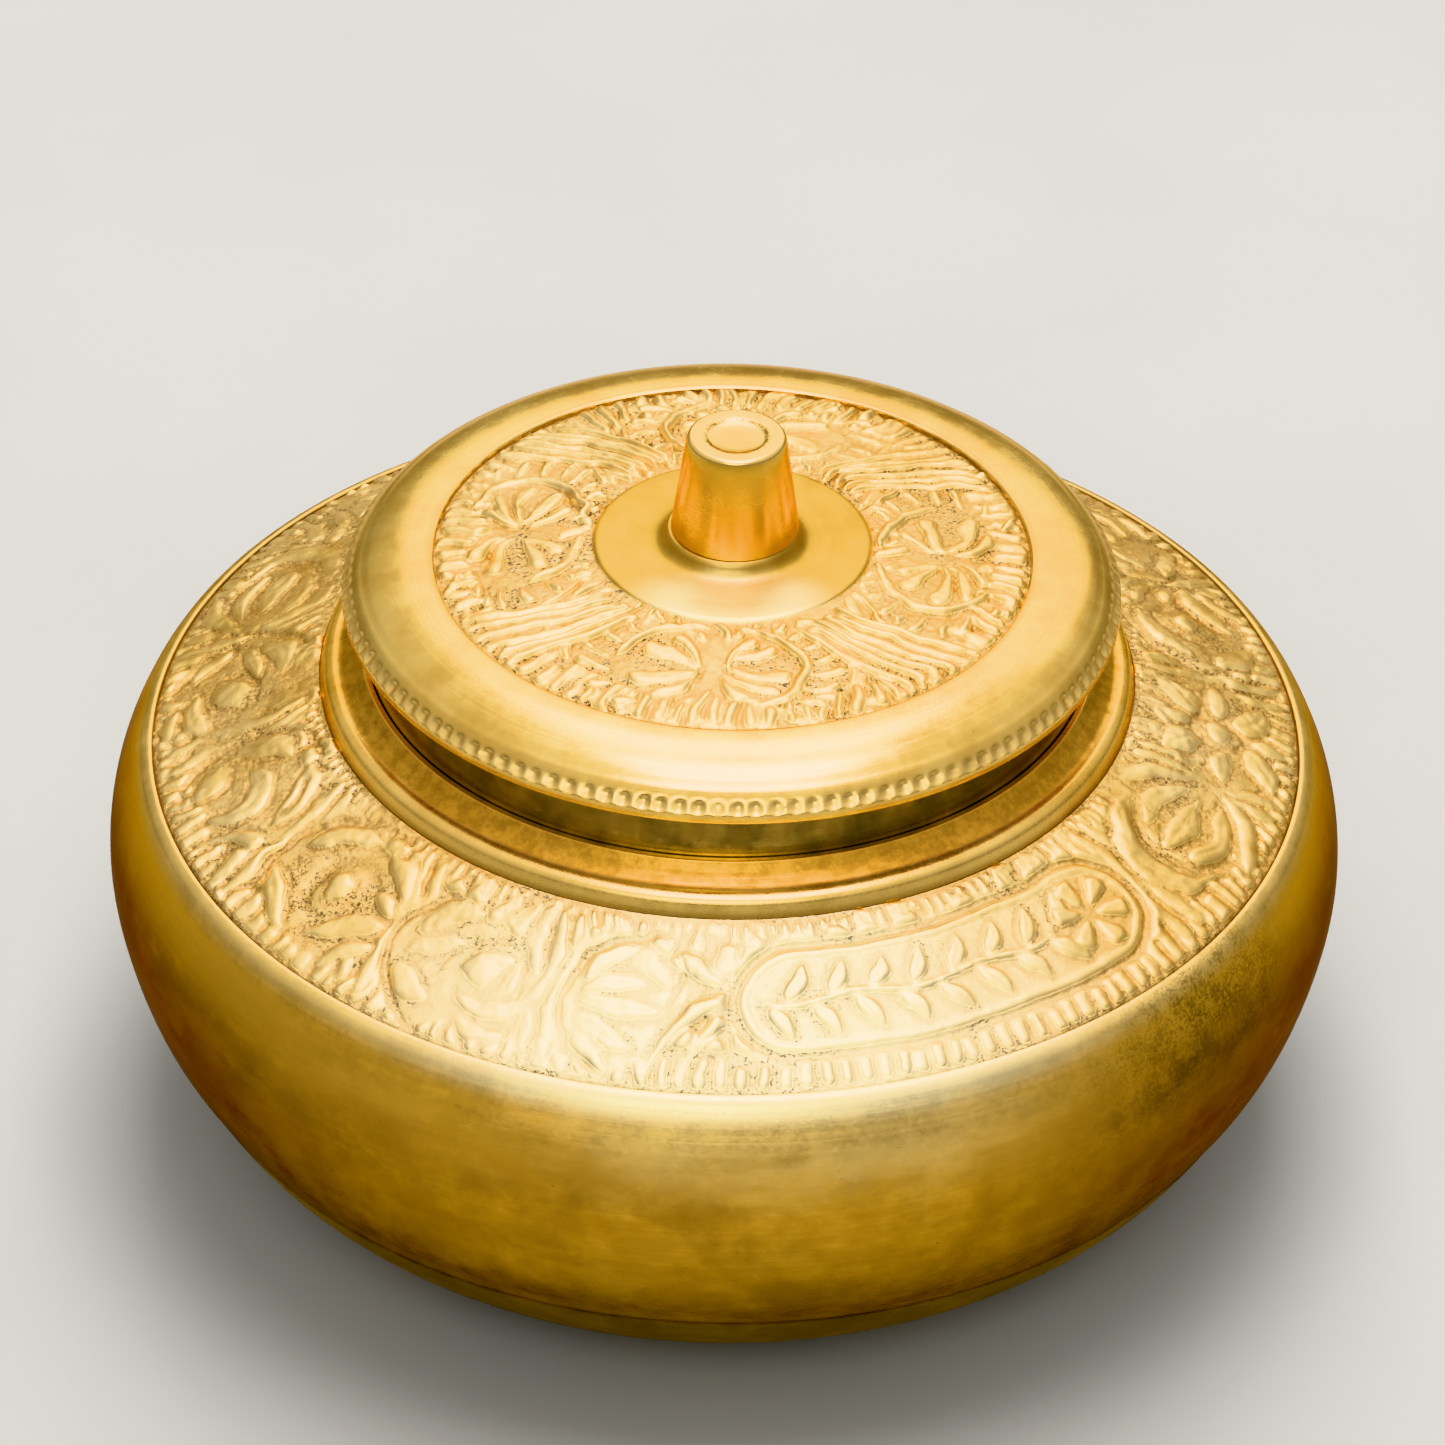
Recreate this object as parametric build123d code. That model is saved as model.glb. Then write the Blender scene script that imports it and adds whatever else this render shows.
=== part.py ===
from build123d import *
import math
import os

os.makedirs("parts", exist_ok=True)

# Small round lidded brass box: a squat turned bowl with an embossed shoulder,
# a turned collar with a polished neck, and a loose lift-off lid with a milled
# edge, an embossed plate and a tapered finger knob.
# Units mm, +Z up, origin on the resting surface under the middle of the foot.

# ---------------------------------------------------------------- dimensions
wall = 1.7              # sheet and casting thickness of the bowl
belly_r = 50.83         # largest radius of the bowl
belly_z = 27.3

# lower dish
foot_r = 31.0           # outer radius of the flat foot
recess_r = 21.0         # turned recess in the middle of the foot
recess_h = 0.7
floor_t = 1.9           # floor thickness over the recess
seam_r = 46.6           # turned seam line between dish and side wall
seam_z = 13.4
lap_h = 2.6             # inner lap of the dish behind the seam
lap_t = 1.0
fit_gap = 0.03          # soldering gap between round faces

# shoulder
rim_r = 48.0            # outer edge of the shoulder
rim_z = 36.8
rim_top_z = 37.22
rebate_r = 46.95        # the shoulder plate drops inside the rim
plate_t = 1.5
plate_edge_z = 36.95    # plate surface where it meets the rim
groove_r = 33.25        # plate surface ends at the collar
groove_z = 43.10
flange_in_r = 30.4      # flat inner flange of the plate, under the collar
flange_z = 42.75

# collar and neck
bead_r = 33.2
bead_top_z = 44.75
bead_in_r = 31.35
bead_in_z = 44.25
ledge_r = 29.75
ledge_z = 46.1
neck_r = 29.3
neck_t = 1.2
neck_top_z = 50.8
neck_foot_r = 30.35
neck_foot_t = 1.35

# lid
lid_r = 31.45
lid_seat_z = 50.8       # underside of the lid, on the neck's top edge
edge_top_z = 52.7
tooth_n = 132
tooth_d = 0.42          # depth of the milled notches
tooth_low_z = 51.45     # notches stop here, a plain band is left below
lip_r = 24.0            # inner lip of the turned ring
lip_z = 54.66
under_z = 52.1          # flat underside of the ring, inside the skirt
plate_r = 25.0
plate_top_z = 54.2
lid_plate_t = 1.3
disc_r = 11.3           # plain middle of the plate
disc_z = 55.75
skirt_gap = 0.30        # lid skirt to neck, all round
skirt_t = 1.2
skirt_low_z = 44.6

# knob
knob_base_r = 5.25
knob_top_r = 3.98
knob_base_z = disc_z
knob_top_z = 65.8
dimple_r = 2.45
dimple_h = 0.32
stud_r = 1.70
stud_gap = 0.03
stud_up = 6.0           # stud length inside the knob
washer_r = 4.2
washer_t = 0.9
head_r = 3.0
head_h = 1.1

lid_travel = 60.0


def spin(*lines):
    """Solid of revolution about Z from a closed profile of (r, z) lines."""
    face = make_face([e for ln in lines for e in ln.edges()])
    return revolve(face, Axis.Z, 360)


def poly(*pts):
    return Polyline(*[(r, 0, z) for r, z in pts])


def curve(*pts, start=None, end=None):
    p = [(r, 0, z) for r, z in pts]
    if start is not None and end is not None:
        return Spline(*p, tangents=[(start[0], 0, start[1]), (end[0], 0, end[1])])
    return Spline(*p)


def cap(r, z, h):
    """Spherical arc from (r, z) to the axis at z + h."""
    rs = (r * r + h * h) / (2 * abs(h))
    sign = 1 if h > 0 else -1
    zc = z + h - sign * rs
    xm = r * 0.5
    return ThreePointArc((r, 0, z), (xm, 0, zc + sign * math.sqrt(rs * rs - xm * xm)),
                         (0, 0, z + h))


def keep(shape, name):
    shape.label = name
    export_step(shape, "parts/%s.step" % name)


# ---------------------------------------------------------------- lower dish
# Outside: flat foot, rounded heel, then a flared wall up to the seam.
dish_out = curve(
    (foot_r, 0.0), (35.98, 2.3), (40.45, 5.8), (44.43, 9.8), (seam_r, seam_z),
    start=(1.0, 0.06), end=(0.52, 1.0))
floor_z = recess_h + floor_t
dish_in = curve(
    (43.85, seam_z - 2.6), (42.3, 9.9), (38.9, 6.6), (34.9, 3.75), (29.0, floor_z),
    start=(-0.40, -0.8), end=(-1.0, 0.0))
lap_r = seam_r - wall + 0.12
base_dish = spin(
    dish_out,
    poly((seam_r, seam_z), (lap_r, seam_z), (lap_r, seam_z + lap_h),
         (lap_r - lap_t, seam_z + lap_h), (43.85, seam_z - 2.6)),
    dish_in,
    poly((29.0, floor_z), (0, floor_z), (0, recess_h), (recess_r, recess_h),
         (recess_r + 0.9, 0.0), (foot_r, 0.0)))

# ---------------------------------------------------------------- side wall
side_out = curve(
    (seam_r, seam_z), (48.05, 16.0), (50.09, 21.8), (belly_r, belly_z),
    (49.85, 32.8), (rim_r + 0.04, rim_z - 0.15),
    start=(0.50, 1.0), end=(-0.50, 1.0))
rim_round = ThreePointArc(
    (rim_r + 0.04, 0, rim_z - 0.15),
    (rim_r - 0.42, 0, rim_top_z),
    (rebate_r + 0.02, 0, plate_edge_z))
ledge_low = plate_edge_z - plate_t - 0.30
side_in = curve(
    (45.75, ledge_low), (48.05, 32.0), (belly_r - wall, belly_z), (48.4, 21.8),
    (46.35, 16.3), (lap_r + fit_gap, seam_z + 2.7),
    start=(0.75, -1.0), end=(-0.55, -1.0))
side_wall = spin(
    side_out, rim_round,
    poly((rebate_r + 0.02, plate_edge_z), (rebate_r + 0.02, ledge_low),
         (45.75, ledge_low)),
    side_in,
    poly((lap_r + fit_gap, seam_z + 2.7), (lap_r + fit_gap, seam_z),
         (seam_r, seam_z)))

# ---------------------------------------------------------------- shoulder plate
# Embossed annular plate: cone of about 24 degrees, a flat flange under the
# collar, and a flat outer land that rests on the wall's rebate.
shoulder_plate = spin(poly(
    (rebate_r, plate_edge_z), (groove_r, groove_z), (groove_r, flange_z),
    (flange_in_r, flange_z), (flange_in_r, flange_z - plate_t),
    (groove_r + 0.2, flange_z - plate_t), (45.80, ledge_low),
    (rebate_r, ledge_low), (rebate_r, plate_edge_z)))

# ---------------------------------------------------------------- collar
collar_bead = ThreePointArc(
    (bead_r, 0, flange_z + 1.02),
    ((bead_r + bead_in_r) / 2 + 0.10, 0, bead_top_z),
    (bead_in_r, 0, bead_in_z))
collar_ring = spin(
    poly((neck_r + fit_gap, flange_z), (bead_r - 0.12, flange_z),
         (bead_r, flange_z + 1.02)),
    collar_bead,
    poly((bead_in_r, bead_in_z), (ledge_r + 0.22, ledge_z - 0.10),
         (ledge_r, ledge_z), (neck_r + fit_gap, ledge_z),
         (neck_r + fit_gap, flange_z)))

# ---------------------------------------------------------------- neck
neck_in_r = neck_r - neck_t
neck_sleeve = spin(poly(
    (neck_in_r, flange_z - neck_foot_t), (neck_foot_r, flange_z - neck_foot_t),
    (neck_foot_r, flange_z), (neck_r, flange_z), (neck_r, neck_top_z - 0.25),
    (neck_r - 0.25, neck_top_z), (neck_in_r + 0.35, neck_top_z),
    (neck_in_r, neck_top_z - 0.45), (neck_in_r, flange_z - neck_foot_t)))

# ---------------------------------------------------------------- lid ring
skirt_r = neck_in_r - skirt_gap
lid_top = curve(
    (lid_r - 0.32, edge_top_z + 0.20), (29.6, 53.50), (26.8, 54.36),
    (lip_r + 0.25, lip_z),
    start=(-1.0, 0.62), end=(-1.0, 0.03))
lid_ring = spin(
    poly((skirt_r + fit_gap, lid_seat_z), (lid_r - 0.25, lid_seat_z),
         (lid_r, lid_seat_z + 0.22), (lid_r, edge_top_z),
         (lid_r - 0.32, edge_top_z + 0.20)),
    lid_top,
    poly((lip_r + 0.25, lip_z), (lip_r, lip_z - 0.12), (lip_r, plate_top_z),
         (plate_r + fit_gap, plate_top_z), (plate_r + fit_gap, under_z),
         (skirt_r + fit_gap, under_z), (skirt_r + fit_gap, lid_seat_z)))

# Milled edge: V notches round the upper part of the rim.
pitch = 2 * math.pi * lid_r / tooth_n
half = pitch * 0.36
notch_top = edge_top_z + 0.9
notch_face = make_face(Polyline(
    (lid_r + 0.5, -half * (1 + 0.5 / tooth_d), tooth_low_z),
    (lid_r - tooth_d, 0, tooth_low_z),
    (lid_r + 0.5, half * (1 + 0.5 / tooth_d), tooth_low_z),
    (lid_r + 0.5, -half * (1 + 0.5 / tooth_d), tooth_low_z)).edges())
notch = extrude(notch_face, notch_top - tooth_low_z, dir=(0, 0, 1))
step = 360.0 / tooth_n
lid_ring = lid_ring.cut(*[notch.rotate(Axis.Z, i * step) for i in range(tooth_n)])
if isinstance(lid_ring, (list, ShapeList)):
    lid_ring = lid_ring[0]

# ---------------------------------------------------------------- lid plate
hole_r = stud_r + stud_gap
lid_plate = spin(
    poly((hole_r, disc_z), (disc_r - 0.35, disc_z), (disc_r, disc_z - 0.28),
         (lip_r - fit_gap, plate_top_z), (plate_r, plate_top_z),
         (plate_r, plate_top_z - lid_plate_t),
         (lip_r - 0.4, plate_top_z - lid_plate_t),
         (disc_r, disc_z - 0.28 - lid_plate_t),
         (hole_r, disc_z - 0.28 - lid_plate_t), (hole_r, disc_z)))

# ---------------------------------------------------------------- lid skirt
lid_skirt = spin(poly(
    (skirt_r - skirt_t, skirt_low_z + 0.25), (skirt_r - skirt_t + 0.25, skirt_low_z),
    (skirt_r - 0.45, skirt_low_z), (skirt_r, skirt_low_z + 0.6),
    (skirt_r, under_z), (skirt_r - skirt_t, under_z),
    (skirt_r - skirt_t, skirt_low_z + 0.25)))

# ---------------------------------------------------------------- knob
knob_low = ThreePointArc(
    (knob_base_r + 0.55, 0, knob_base_z),
    (knob_base_r + 0.12, 0, knob_base_z + 0.17),
    (knob_base_r - 0.06, 0, knob_base_z + 0.60))
knob_edge = ThreePointArc(
    (knob_top_r + 0.03, 0, knob_top_z - 0.42),
    (knob_top_r - 0.12, 0, knob_top_z - 0.12),
    (knob_top_r - 0.42, 0, knob_top_z))
knob_dimple = cap(dimple_r, knob_top_z, -dimple_h)
bore_top_z = knob_base_z + stud_up
knob = spin(
    knob_low,
    poly((knob_base_r - 0.06, knob_base_z + 0.60),
         (knob_top_r + 0.03, knob_top_z - 0.42)),
    knob_edge,
    poly((knob_top_r - 0.42, knob_top_z), (dimple_r, knob_top_z)),
    knob_dimple,
    poly((0, knob_top_z - dimple_h), (0, bore_top_z), (hole_r, bore_top_z),
         (hole_r, knob_base_z), (knob_base_r + 0.55, knob_base_z)))

# ---------------------------------------------------------------- knob fixing
plate_under_z = disc_z - 0.28 - lid_plate_t
washer_low_z = plate_under_z - washer_t
knob_washer = spin(poly(
    (hole_r, plate_under_z), (washer_r, plate_under_z),
    (washer_r, washer_low_z + 0.2), (washer_r - 0.2, washer_low_z),
    (hole_r, washer_low_z), (hole_r, plate_under_z)))
head_dome = cap(head_r, washer_low_z - 0.25, -(head_h - 0.25))
knob_stud = spin(
    poly((0, bore_top_z), (stud_r, bore_top_z), (stud_r, washer_low_z),
         (head_r, washer_low_z), (head_r, washer_low_z - 0.25)),
    head_dome,
    poly((0, washer_low_z - head_h), (0, bore_top_z)))

# ---------------------------------------------------------------- export
for name, shape in [
        ("base_dish", base_dish), ("side_wall", side_wall),
        ("shoulder_plate", shoulder_plate), ("collar_ring", collar_ring),
        ("neck_sleeve", neck_sleeve), ("lid_ring", lid_ring),
        ("lid_plate", lid_plate), ("lid_skirt", lid_skirt),
        ("knob", knob), ("knob_stud", knob_stud), ("knob_washer", knob_washer)]:
    keep(shape, name)

print("overall height %.2f, belly diameter %.2f, lid diameter %.2f, mouth bore %.2f"
      % (knob_top_z, 2 * belly_r, 2 * lid_r, 2 * neck_in_r))
print("lid travel %.0f, skirt depth below the seat %.2f" % (lid_travel, lid_seat_z - skirt_low_z))
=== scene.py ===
import math

import bpy
import bmesh
import numpy as np
from mathutils import Matrix, Vector


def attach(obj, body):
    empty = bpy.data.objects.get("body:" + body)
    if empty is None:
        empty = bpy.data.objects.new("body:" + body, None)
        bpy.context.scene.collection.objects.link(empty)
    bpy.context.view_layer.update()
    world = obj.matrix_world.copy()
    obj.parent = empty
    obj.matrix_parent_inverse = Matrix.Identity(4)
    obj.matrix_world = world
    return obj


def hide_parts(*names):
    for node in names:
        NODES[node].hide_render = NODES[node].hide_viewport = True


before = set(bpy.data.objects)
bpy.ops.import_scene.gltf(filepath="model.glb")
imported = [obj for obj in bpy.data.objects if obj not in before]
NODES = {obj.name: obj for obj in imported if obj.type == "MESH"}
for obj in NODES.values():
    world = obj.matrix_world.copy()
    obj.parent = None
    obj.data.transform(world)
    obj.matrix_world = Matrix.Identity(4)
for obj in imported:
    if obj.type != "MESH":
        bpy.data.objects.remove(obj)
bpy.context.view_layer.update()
MM = 0.001

# ------------------------------------------------------------------ dimensions (mm), as in the CAD
wall = 1.7
foot_r, recess_r, recess_h, floor_t = 31.0, 21.0, 0.7, 1.9
floor_z = recess_h + floor_t
seam_r, seam_z = 46.6, 13.4
lap_h, lap_t = 2.6, 1.0
lap_r = seam_r - wall + 0.12
belly_r, belly_z = 50.83, 27.3
rim_r, rim_z, rim_top_z = 48.0, 36.8, 37.22
rebate_r, plate_t, plate_edge_z = 46.95, 1.5, 36.95
ledge_low = plate_edge_z - plate_t - 0.30
groove_r, groove_z = 33.25, 43.10
flange_in_r, flange_z = 30.4, 42.75
neck_r = 29.3
lid_r, lid_seat_z, edge_top_z = 31.45, 50.8, 52.7
lip_r, lip_z = 24.0, 54.66
plate_r, plate_top_z, lid_plate_t = 25.0, 54.2, 1.3
disc_r, disc_z = 11.3, 55.75
under_z = 52.1
skirt_r = neck_r - 1.2 - 0.30
knob_base_z, knob_top_z = disc_z, 65.8
hole_r = 1.73


# ------------------------------------------------------------------ curve helpers
def spline(pts, n=12, t0=None, t1=None):
    """Cubic through pts with n steps per span; t0 and t1 are end directions."""
    p = np.array(pts, float)
    m = len(p)
    d = np.zeros_like(p)
    for i in range(1, m - 1):
        a, b = p[i] - p[i - 1], p[i + 1] - p[i]
        la, lb = np.linalg.norm(a), np.linalg.norm(b)
        d[i] = (a / la * lb + b / lb * la) / (la + lb)
    d[0] = (p[1] - p[0]) / np.linalg.norm(p[1] - p[0]) if t0 is None else np.array(t0) / np.linalg.norm(t0)
    d[-1] = (p[-1] - p[-2]) / np.linalg.norm(p[-1] - p[-2]) if t1 is None else np.array(t1) / np.linalg.norm(t1)
    out = []
    for i in range(m - 1):
        ln = np.linalg.norm(p[i + 1] - p[i])
        for k in range(n):
            u = k / n
            h00, h10 = 2 * u**3 - 3 * u**2 + 1, u**3 - 2 * u**2 + u
            h01, h11 = -2 * u**3 + 3 * u**2, u**3 - u**2
            out.append(h00 * p[i] + h10 * ln * d[i] + h01 * p[i + 1] + h11 * ln * d[i + 1])
    out.append(p[-1])
    return [tuple(q) for q in out]


def rounded(pts, n=5):
    """Open or closed profile of (r, z) or (r, z, radius): corners with a radius are rounded."""
    out = []
    m = len(pts)
    for i, q in enumerate(pts):
        if len(q) < 3 or q[2] <= 0 or i in (0, m - 1):
            out.append((q[0], q[1]))
            continue
        p = np.array(q[:2], float)
        a = np.array(pts[i - 1][:2], float) - p
        b = np.array(pts[i + 1][:2], float) - p
        la, lb = np.linalg.norm(a), np.linalg.norm(b)
        a, b = a / la, b / lb
        ang = math.acos(max(-1, min(1, float(a @ b))))
        t = min(q[2] / math.tan(ang / 2), la * 0.49, lb * 0.49)
        rad = t * math.tan(ang / 2)
        mid = (a + b) / np.linalg.norm(a + b)
        c = p + mid * (rad / math.sin(ang / 2))
        s, e = p + a * t, p + b * t
        vs, ve = s - c, e - c
        a0, a1 = math.atan2(vs[1], vs[0]), math.atan2(ve[1], ve[0])
        da = (a1 - a0 + math.pi) % (2 * math.pi) - math.pi
        for k in range(n + 1):
            w = a0 + da * k / n
            out.append((c[0] + rad * math.cos(w), c[1] + rad * math.sin(w)))
    return out


def densify(pts, step):
    out = [pts[0]]
    for a, b in zip(pts[:-1], pts[1:]):
        k = max(1, int(math.ceil(math.hypot(b[0] - a[0], b[1] - a[1]) / step)))
        for i in range(1, k + 1):
            out.append((a[0] + (b[0] - a[0]) * i / k, a[1] + (b[1] - a[1]) * i / k))
    return out


# ------------------------------------------------------------------ mesh helpers
class Build:
    """Collects rings of points about Z and joins them into one mesh."""

    def __init__(self):
        self.v, self.f = [], []
        self.count = 0
        self.attr = []

    def ring(self, pts, cav=None):
        pts = np.asarray(pts, float)
        start = self.count
        self.v.append(pts)
        self.attr.append(np.zeros(len(pts)) if cav is None else np.asarray(cav, float))
        self.count += len(pts)
        return (start, len(pts))

    def circle(self, r, z, n, wob=None):
        a = np.arange(n) * 2 * math.pi / n
        rr = np.full(n, float(r))
        if wob is not None:
            rr = rr + wob(a, z)
        return self.ring(np.stack([rr * np.cos(a), rr * np.sin(a), np.full(n, float(z))], 1))

    def point(self, z):
        return self.ring([[0, 0, z]])

    def join(self, a, b):
        (sa, na), (sb, nb) = a, b
        if na == nb:
            i = np.arange(na)
            j = (i + 1) % na
            self.f.extend(np.stack([sa + i, sa + j, sb + j, sb + i], 1).tolist())
        elif nb == 1:
            for i in range(na):
                self.f.append([sa + i, sa + (i + 1) % na, sb])
        elif na == 1:
            for i in range(nb):
                self.f.append([sa, sb + (i + 1) % nb, sb + i])
        elif na > nb:
            k = na // nb
            for j in range(nb):
                j1 = (j + 1) % nb
                h = k // 2
                for i in range(k):
                    p, q = sa + (j * k + i) % na, sa + (j * k + i + 1) % na
                    self.f.append([p, q, sb + (j if i < h else j1)])
                self.f.append([sb + j, sa + (j * k + h) % na, sb + j1])
        else:
            k = nb // na
            for j in range(na):
                j1 = (j + 1) % na
                h = k // 2
                for i in range(k):
                    p, q = sb + (j * k + i) % nb, sb + (j * k + i + 1) % nb
                    self.f.append([q, p, sa + (j if i < h else j1)])
                self.f.append([sa + j1, sb + (j * k + h) % nb, sa + j])

    def mesh(self, name, sharp=40, cav=False):
        v = np.concatenate(self.v) * MM
        me = bpy.data.meshes.new(name)
        me.from_pydata(v.tolist(), [], self.f)
        me.update()
        bm = bmesh.new()
        bm.from_mesh(me)
        bmesh.ops.remove_doubles(bm, verts=bm.verts, dist=1e-8)
        bmesh.ops.recalc_face_normals(bm, faces=bm.faces)
        bm.to_mesh(me)
        bm.free()
        me.polygons.foreach_set("use_smooth", [True] * len(me.polygons))
        me.set_sharp_from_angle(angle=math.radians(sharp))
        ob = bpy.data.objects.new(name, me)
        bpy.context.collection.objects.link(ob)
        if cav:
            at = me.attributes.new("cavity", "FLOAT", "POINT")
            at.data.foreach_set("value", np.concatenate(self.attr).astype(np.float32))
        return ob


def lathe(name, profile, n=360, wob=None, sharp=32):
    """Closed body of revolution from a profile of (r, z); r = 0 ends close on the axis."""
    b = Build()
    rings = []
    for r, z in profile:
        rings.append(b.point(z) if r < 1e-6 else b.circle(r, z, n, wob))
    for p, q in zip(rings[:-1], rings[1:]):
        b.join(p, q)
    if profile[0][0] > 1e-6:
        b.join(rings[-1], rings[0])
    return b.mesh(name, sharp)


# ------------------------------------------------------------------ relief drawing
class Relief:
    """A height map on an unrolled ring: x runs round (it repeats), y runs from the inner edge outwards. All in mm."""

    def __init__(self, length, height, px, seed):
        self.L, self.T = length, height
        self.W, self.N = int(round(length / px)), int(round(height / px)) + 1
        self.px, self.py = length / self.W, height / (self.N - 1)
        self.h = np.zeros((self.N, self.W))
        self.calm = np.zeros((self.N, self.W))
        self.rng = np.random.default_rng(seed)

    def window(self, pts, pad):
        p = np.asarray(pts, float)
        i0, i1 = int((p[:, 0].min() - pad) // self.px), int((p[:, 0].max() + pad) // self.px) + 1
        j0 = max(0, int((p[:, 1].min() - pad) // self.py))
        j1 = min(self.N, int((p[:, 1].max() + pad) // self.py) + 2)
        if j1 <= j0:
            return None
        cols = np.arange(i0, i1 + 1)
        X, Y = np.meshgrid(cols * self.px, np.arange(j0, j1) * self.py)
        return j0, j1, cols % self.W, X, Y

    def near(self, pts, X, Y):
        """Signed distance to the polyline and how far along it, 0 to 1."""
        p = np.asarray(pts, float)
        seg = np.linalg.norm(p[1:] - p[:-1], axis=1)
        cum = np.concatenate([[0], np.cumsum(seg)])
        tot = max(cum[-1], 1e-9)
        best = np.full(X.shape, 1e9)
        side = np.ones(X.shape)
        u = np.zeros(X.shape)
        for k in range(len(p) - 1):
            a, ab = p[k], p[k + 1] - p[k]
            l2 = max(float(ab @ ab), 1e-12)
            t = np.clip(((X - a[0]) * ab[0] + (Y - a[1]) * ab[1]) / l2, 0, 1)
            dx, dy = X - (a[0] + t * ab[0]), Y - (a[1] + t * ab[1])
            d = np.hypot(dx, dy)
            m = d < best
            best[m] = d[m]
            side[m] = np.sign(ab[0] * dy - ab[1] * dx)[m]
            u[m] = ((cum[k] + t * seg[k]) / tot)[m]
        return best, side, u

    def blade(self, pts, w, h, shape="leaf", vein=0.0, ribs=0, rib_d=0.05, under=0.10, base=0.0, flat=0.55):
        """A raised petal, leaf or rib along a path. w is its half width."""
        win = self.window(pts, w * 1.1 + 0.9)
        if win is None:
            return
        j0, j1, cols, X, Y = win
        d, side, u = self.near(pts, X, Y)
        if shape == "leaf":
            wu = w * np.sin(np.pi * np.clip(u, 0.004, 0.996) ** 0.80) ** 0.72
        elif shape == "drop":
            wu = w * (0.25 + 0.75 * np.clip(u, 0, 1) ** 0.8) * (1 - np.clip((u - 0.72) / 0.28, 0, 1) ** 2.6) ** 0.5
        elif shape == "tail":
            wu = w * (1 - 0.75 * u) * (1 - np.clip((0.10 - u) / 0.10, 0, 1) ** 2) ** 0.5
        else:
            wu = w * (1 - np.abs(2 * u - 1) ** 7) ** 0.5
        wu = np.maximum(wu, 0.06)
        v = d / wu
        inside = v < 1
        hh = h * (wu / w) ** 0.6
        top = base + hh * (1 - np.clip(v, 0, 1) ** 2) ** flat
        if vein:
            top = top - vein * np.exp(-((d / 0.16) ** 2)) * np.clip((u - 0.05) * 8, 0, 1) * np.clip((0.92 - u) * 6, 0, 1)
        if ribs:
            ph = ribs * u - 0.9 * v + 0.15 * side
            top = top - rib_d * (0.5 + 0.5 * np.cos(2 * np.pi * ph)) * np.clip(v * 3, 0, 1) * np.clip(1.15 - v, 0, 1)
        sub = self.h[j0:j1][:, cols]
        if under:
            out = np.clip((d - wu) / 0.28, 0, None)
            sub = sub - under * np.exp(-(out**2) * 1.2) * (~inside)
        sub = np.where(inside, np.maximum(top, sub * 0.35), sub)
        self.h[j0:j1, cols] = sub

    def cut(self, pts, w, depth):
        """An engraved line."""
        win = self.window(pts, w * 2 + 0.3)
        if win is None:
            return
        j0, j1, cols, X, Y = win
        d, _, u = self.near(pts, X, Y)
        ends = np.clip(u * 14, 0.15, 1) * np.clip((1 - u) * 14, 0.15, 1)
        sub = self.h[j0:j1][:, cols]
        self.h[j0:j1, cols] = sub - depth * ends * np.exp(-((d / w) ** 2) * 1.4)

    def clear(self, pts, w, to=0.0, soft=0.35):
        win = self.window(pts, w + soft * 2)
        if win is None:
            return
        j0, j1, cols, X, Y = win
        d, _, _ = self.near(pts, X, Y)
        k = 1 / (1 + np.exp((d - w) / (soft * 0.35)))
        sub = self.h[j0:j1][:, cols]
        self.h[j0:j1, cols] = sub * (1 - k) + to * k

    def bead(self, x, y, r, h):
        self.blade([(x - 0.01, y), (x + 0.01, y)], r, h, shape="round", under=0.08)

    def blur(self, a, sx):
        """Gaussian blur of about sx mm; rows are mirrored past both edges."""
        pad = int(4 * sx / self.py) + 2
        b = np.concatenate([a[pad:0:-1], a, a[-2:-pad - 2:-1]], 0)
        fy, fx = np.fft.fftfreq(b.shape[0], self.py)[:, None], np.fft.rfftfreq(b.shape[1], self.px)[None]
        k = np.exp(-2 * (np.pi * sx) ** 2 * (fx**2 + fy**2))
        out = np.fft.irfft2(np.fft.rfft2(b) * k, s=b.shape)
        return out[pad:pad + a.shape[0]]

    def noise(self, size):
        n = self.blur(self.rng.standard_normal(self.h.shape), size)
        return n / (n.std() + 1e-12)

    def ridged(self, size):
        """Folds like those of crumpled foil, spread about 0."""
        n = 1 - np.abs(self.noise(size))
        return n - n.mean()

    def sample(self, arr, x, y):
        fx, fy = (np.asarray(x) / self.px) % self.W, np.clip(np.asarray(y) / self.py, 0, self.N - 1.001)
        i, j = fx.astype(int), fy.astype(int)
        a, b = fx - i, fy - j
        i1 = (i + 1) % self.W
        return (arr[j, i] * (1 - a) * (1 - b) + arr[j, i1] * a * (1 - b)
                + arr[j + 1, i] * (1 - a) * b + arr[j + 1, i1] * a * b)


def arc(cx, cy, rx, ry, a0, a1, n=18):
    t = np.radians(np.linspace(a0, a1, n))
    return [(cx + rx * math.cos(k), cy + ry * math.sin(k)) for k in t]


def bow(a, b, bulge=0.0, n=9):
    """A path from a to b that bows sideways by bulge times its length."""
    a, b = np.array(a, float), np.array(b, float)
    d = b - a
    nrm = np.array([-d[1], d[0]])
    return [tuple(a + d * t + nrm * bulge * 4 * t * (1 - t)) for t in np.linspace(0, 1, n)]


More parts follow.
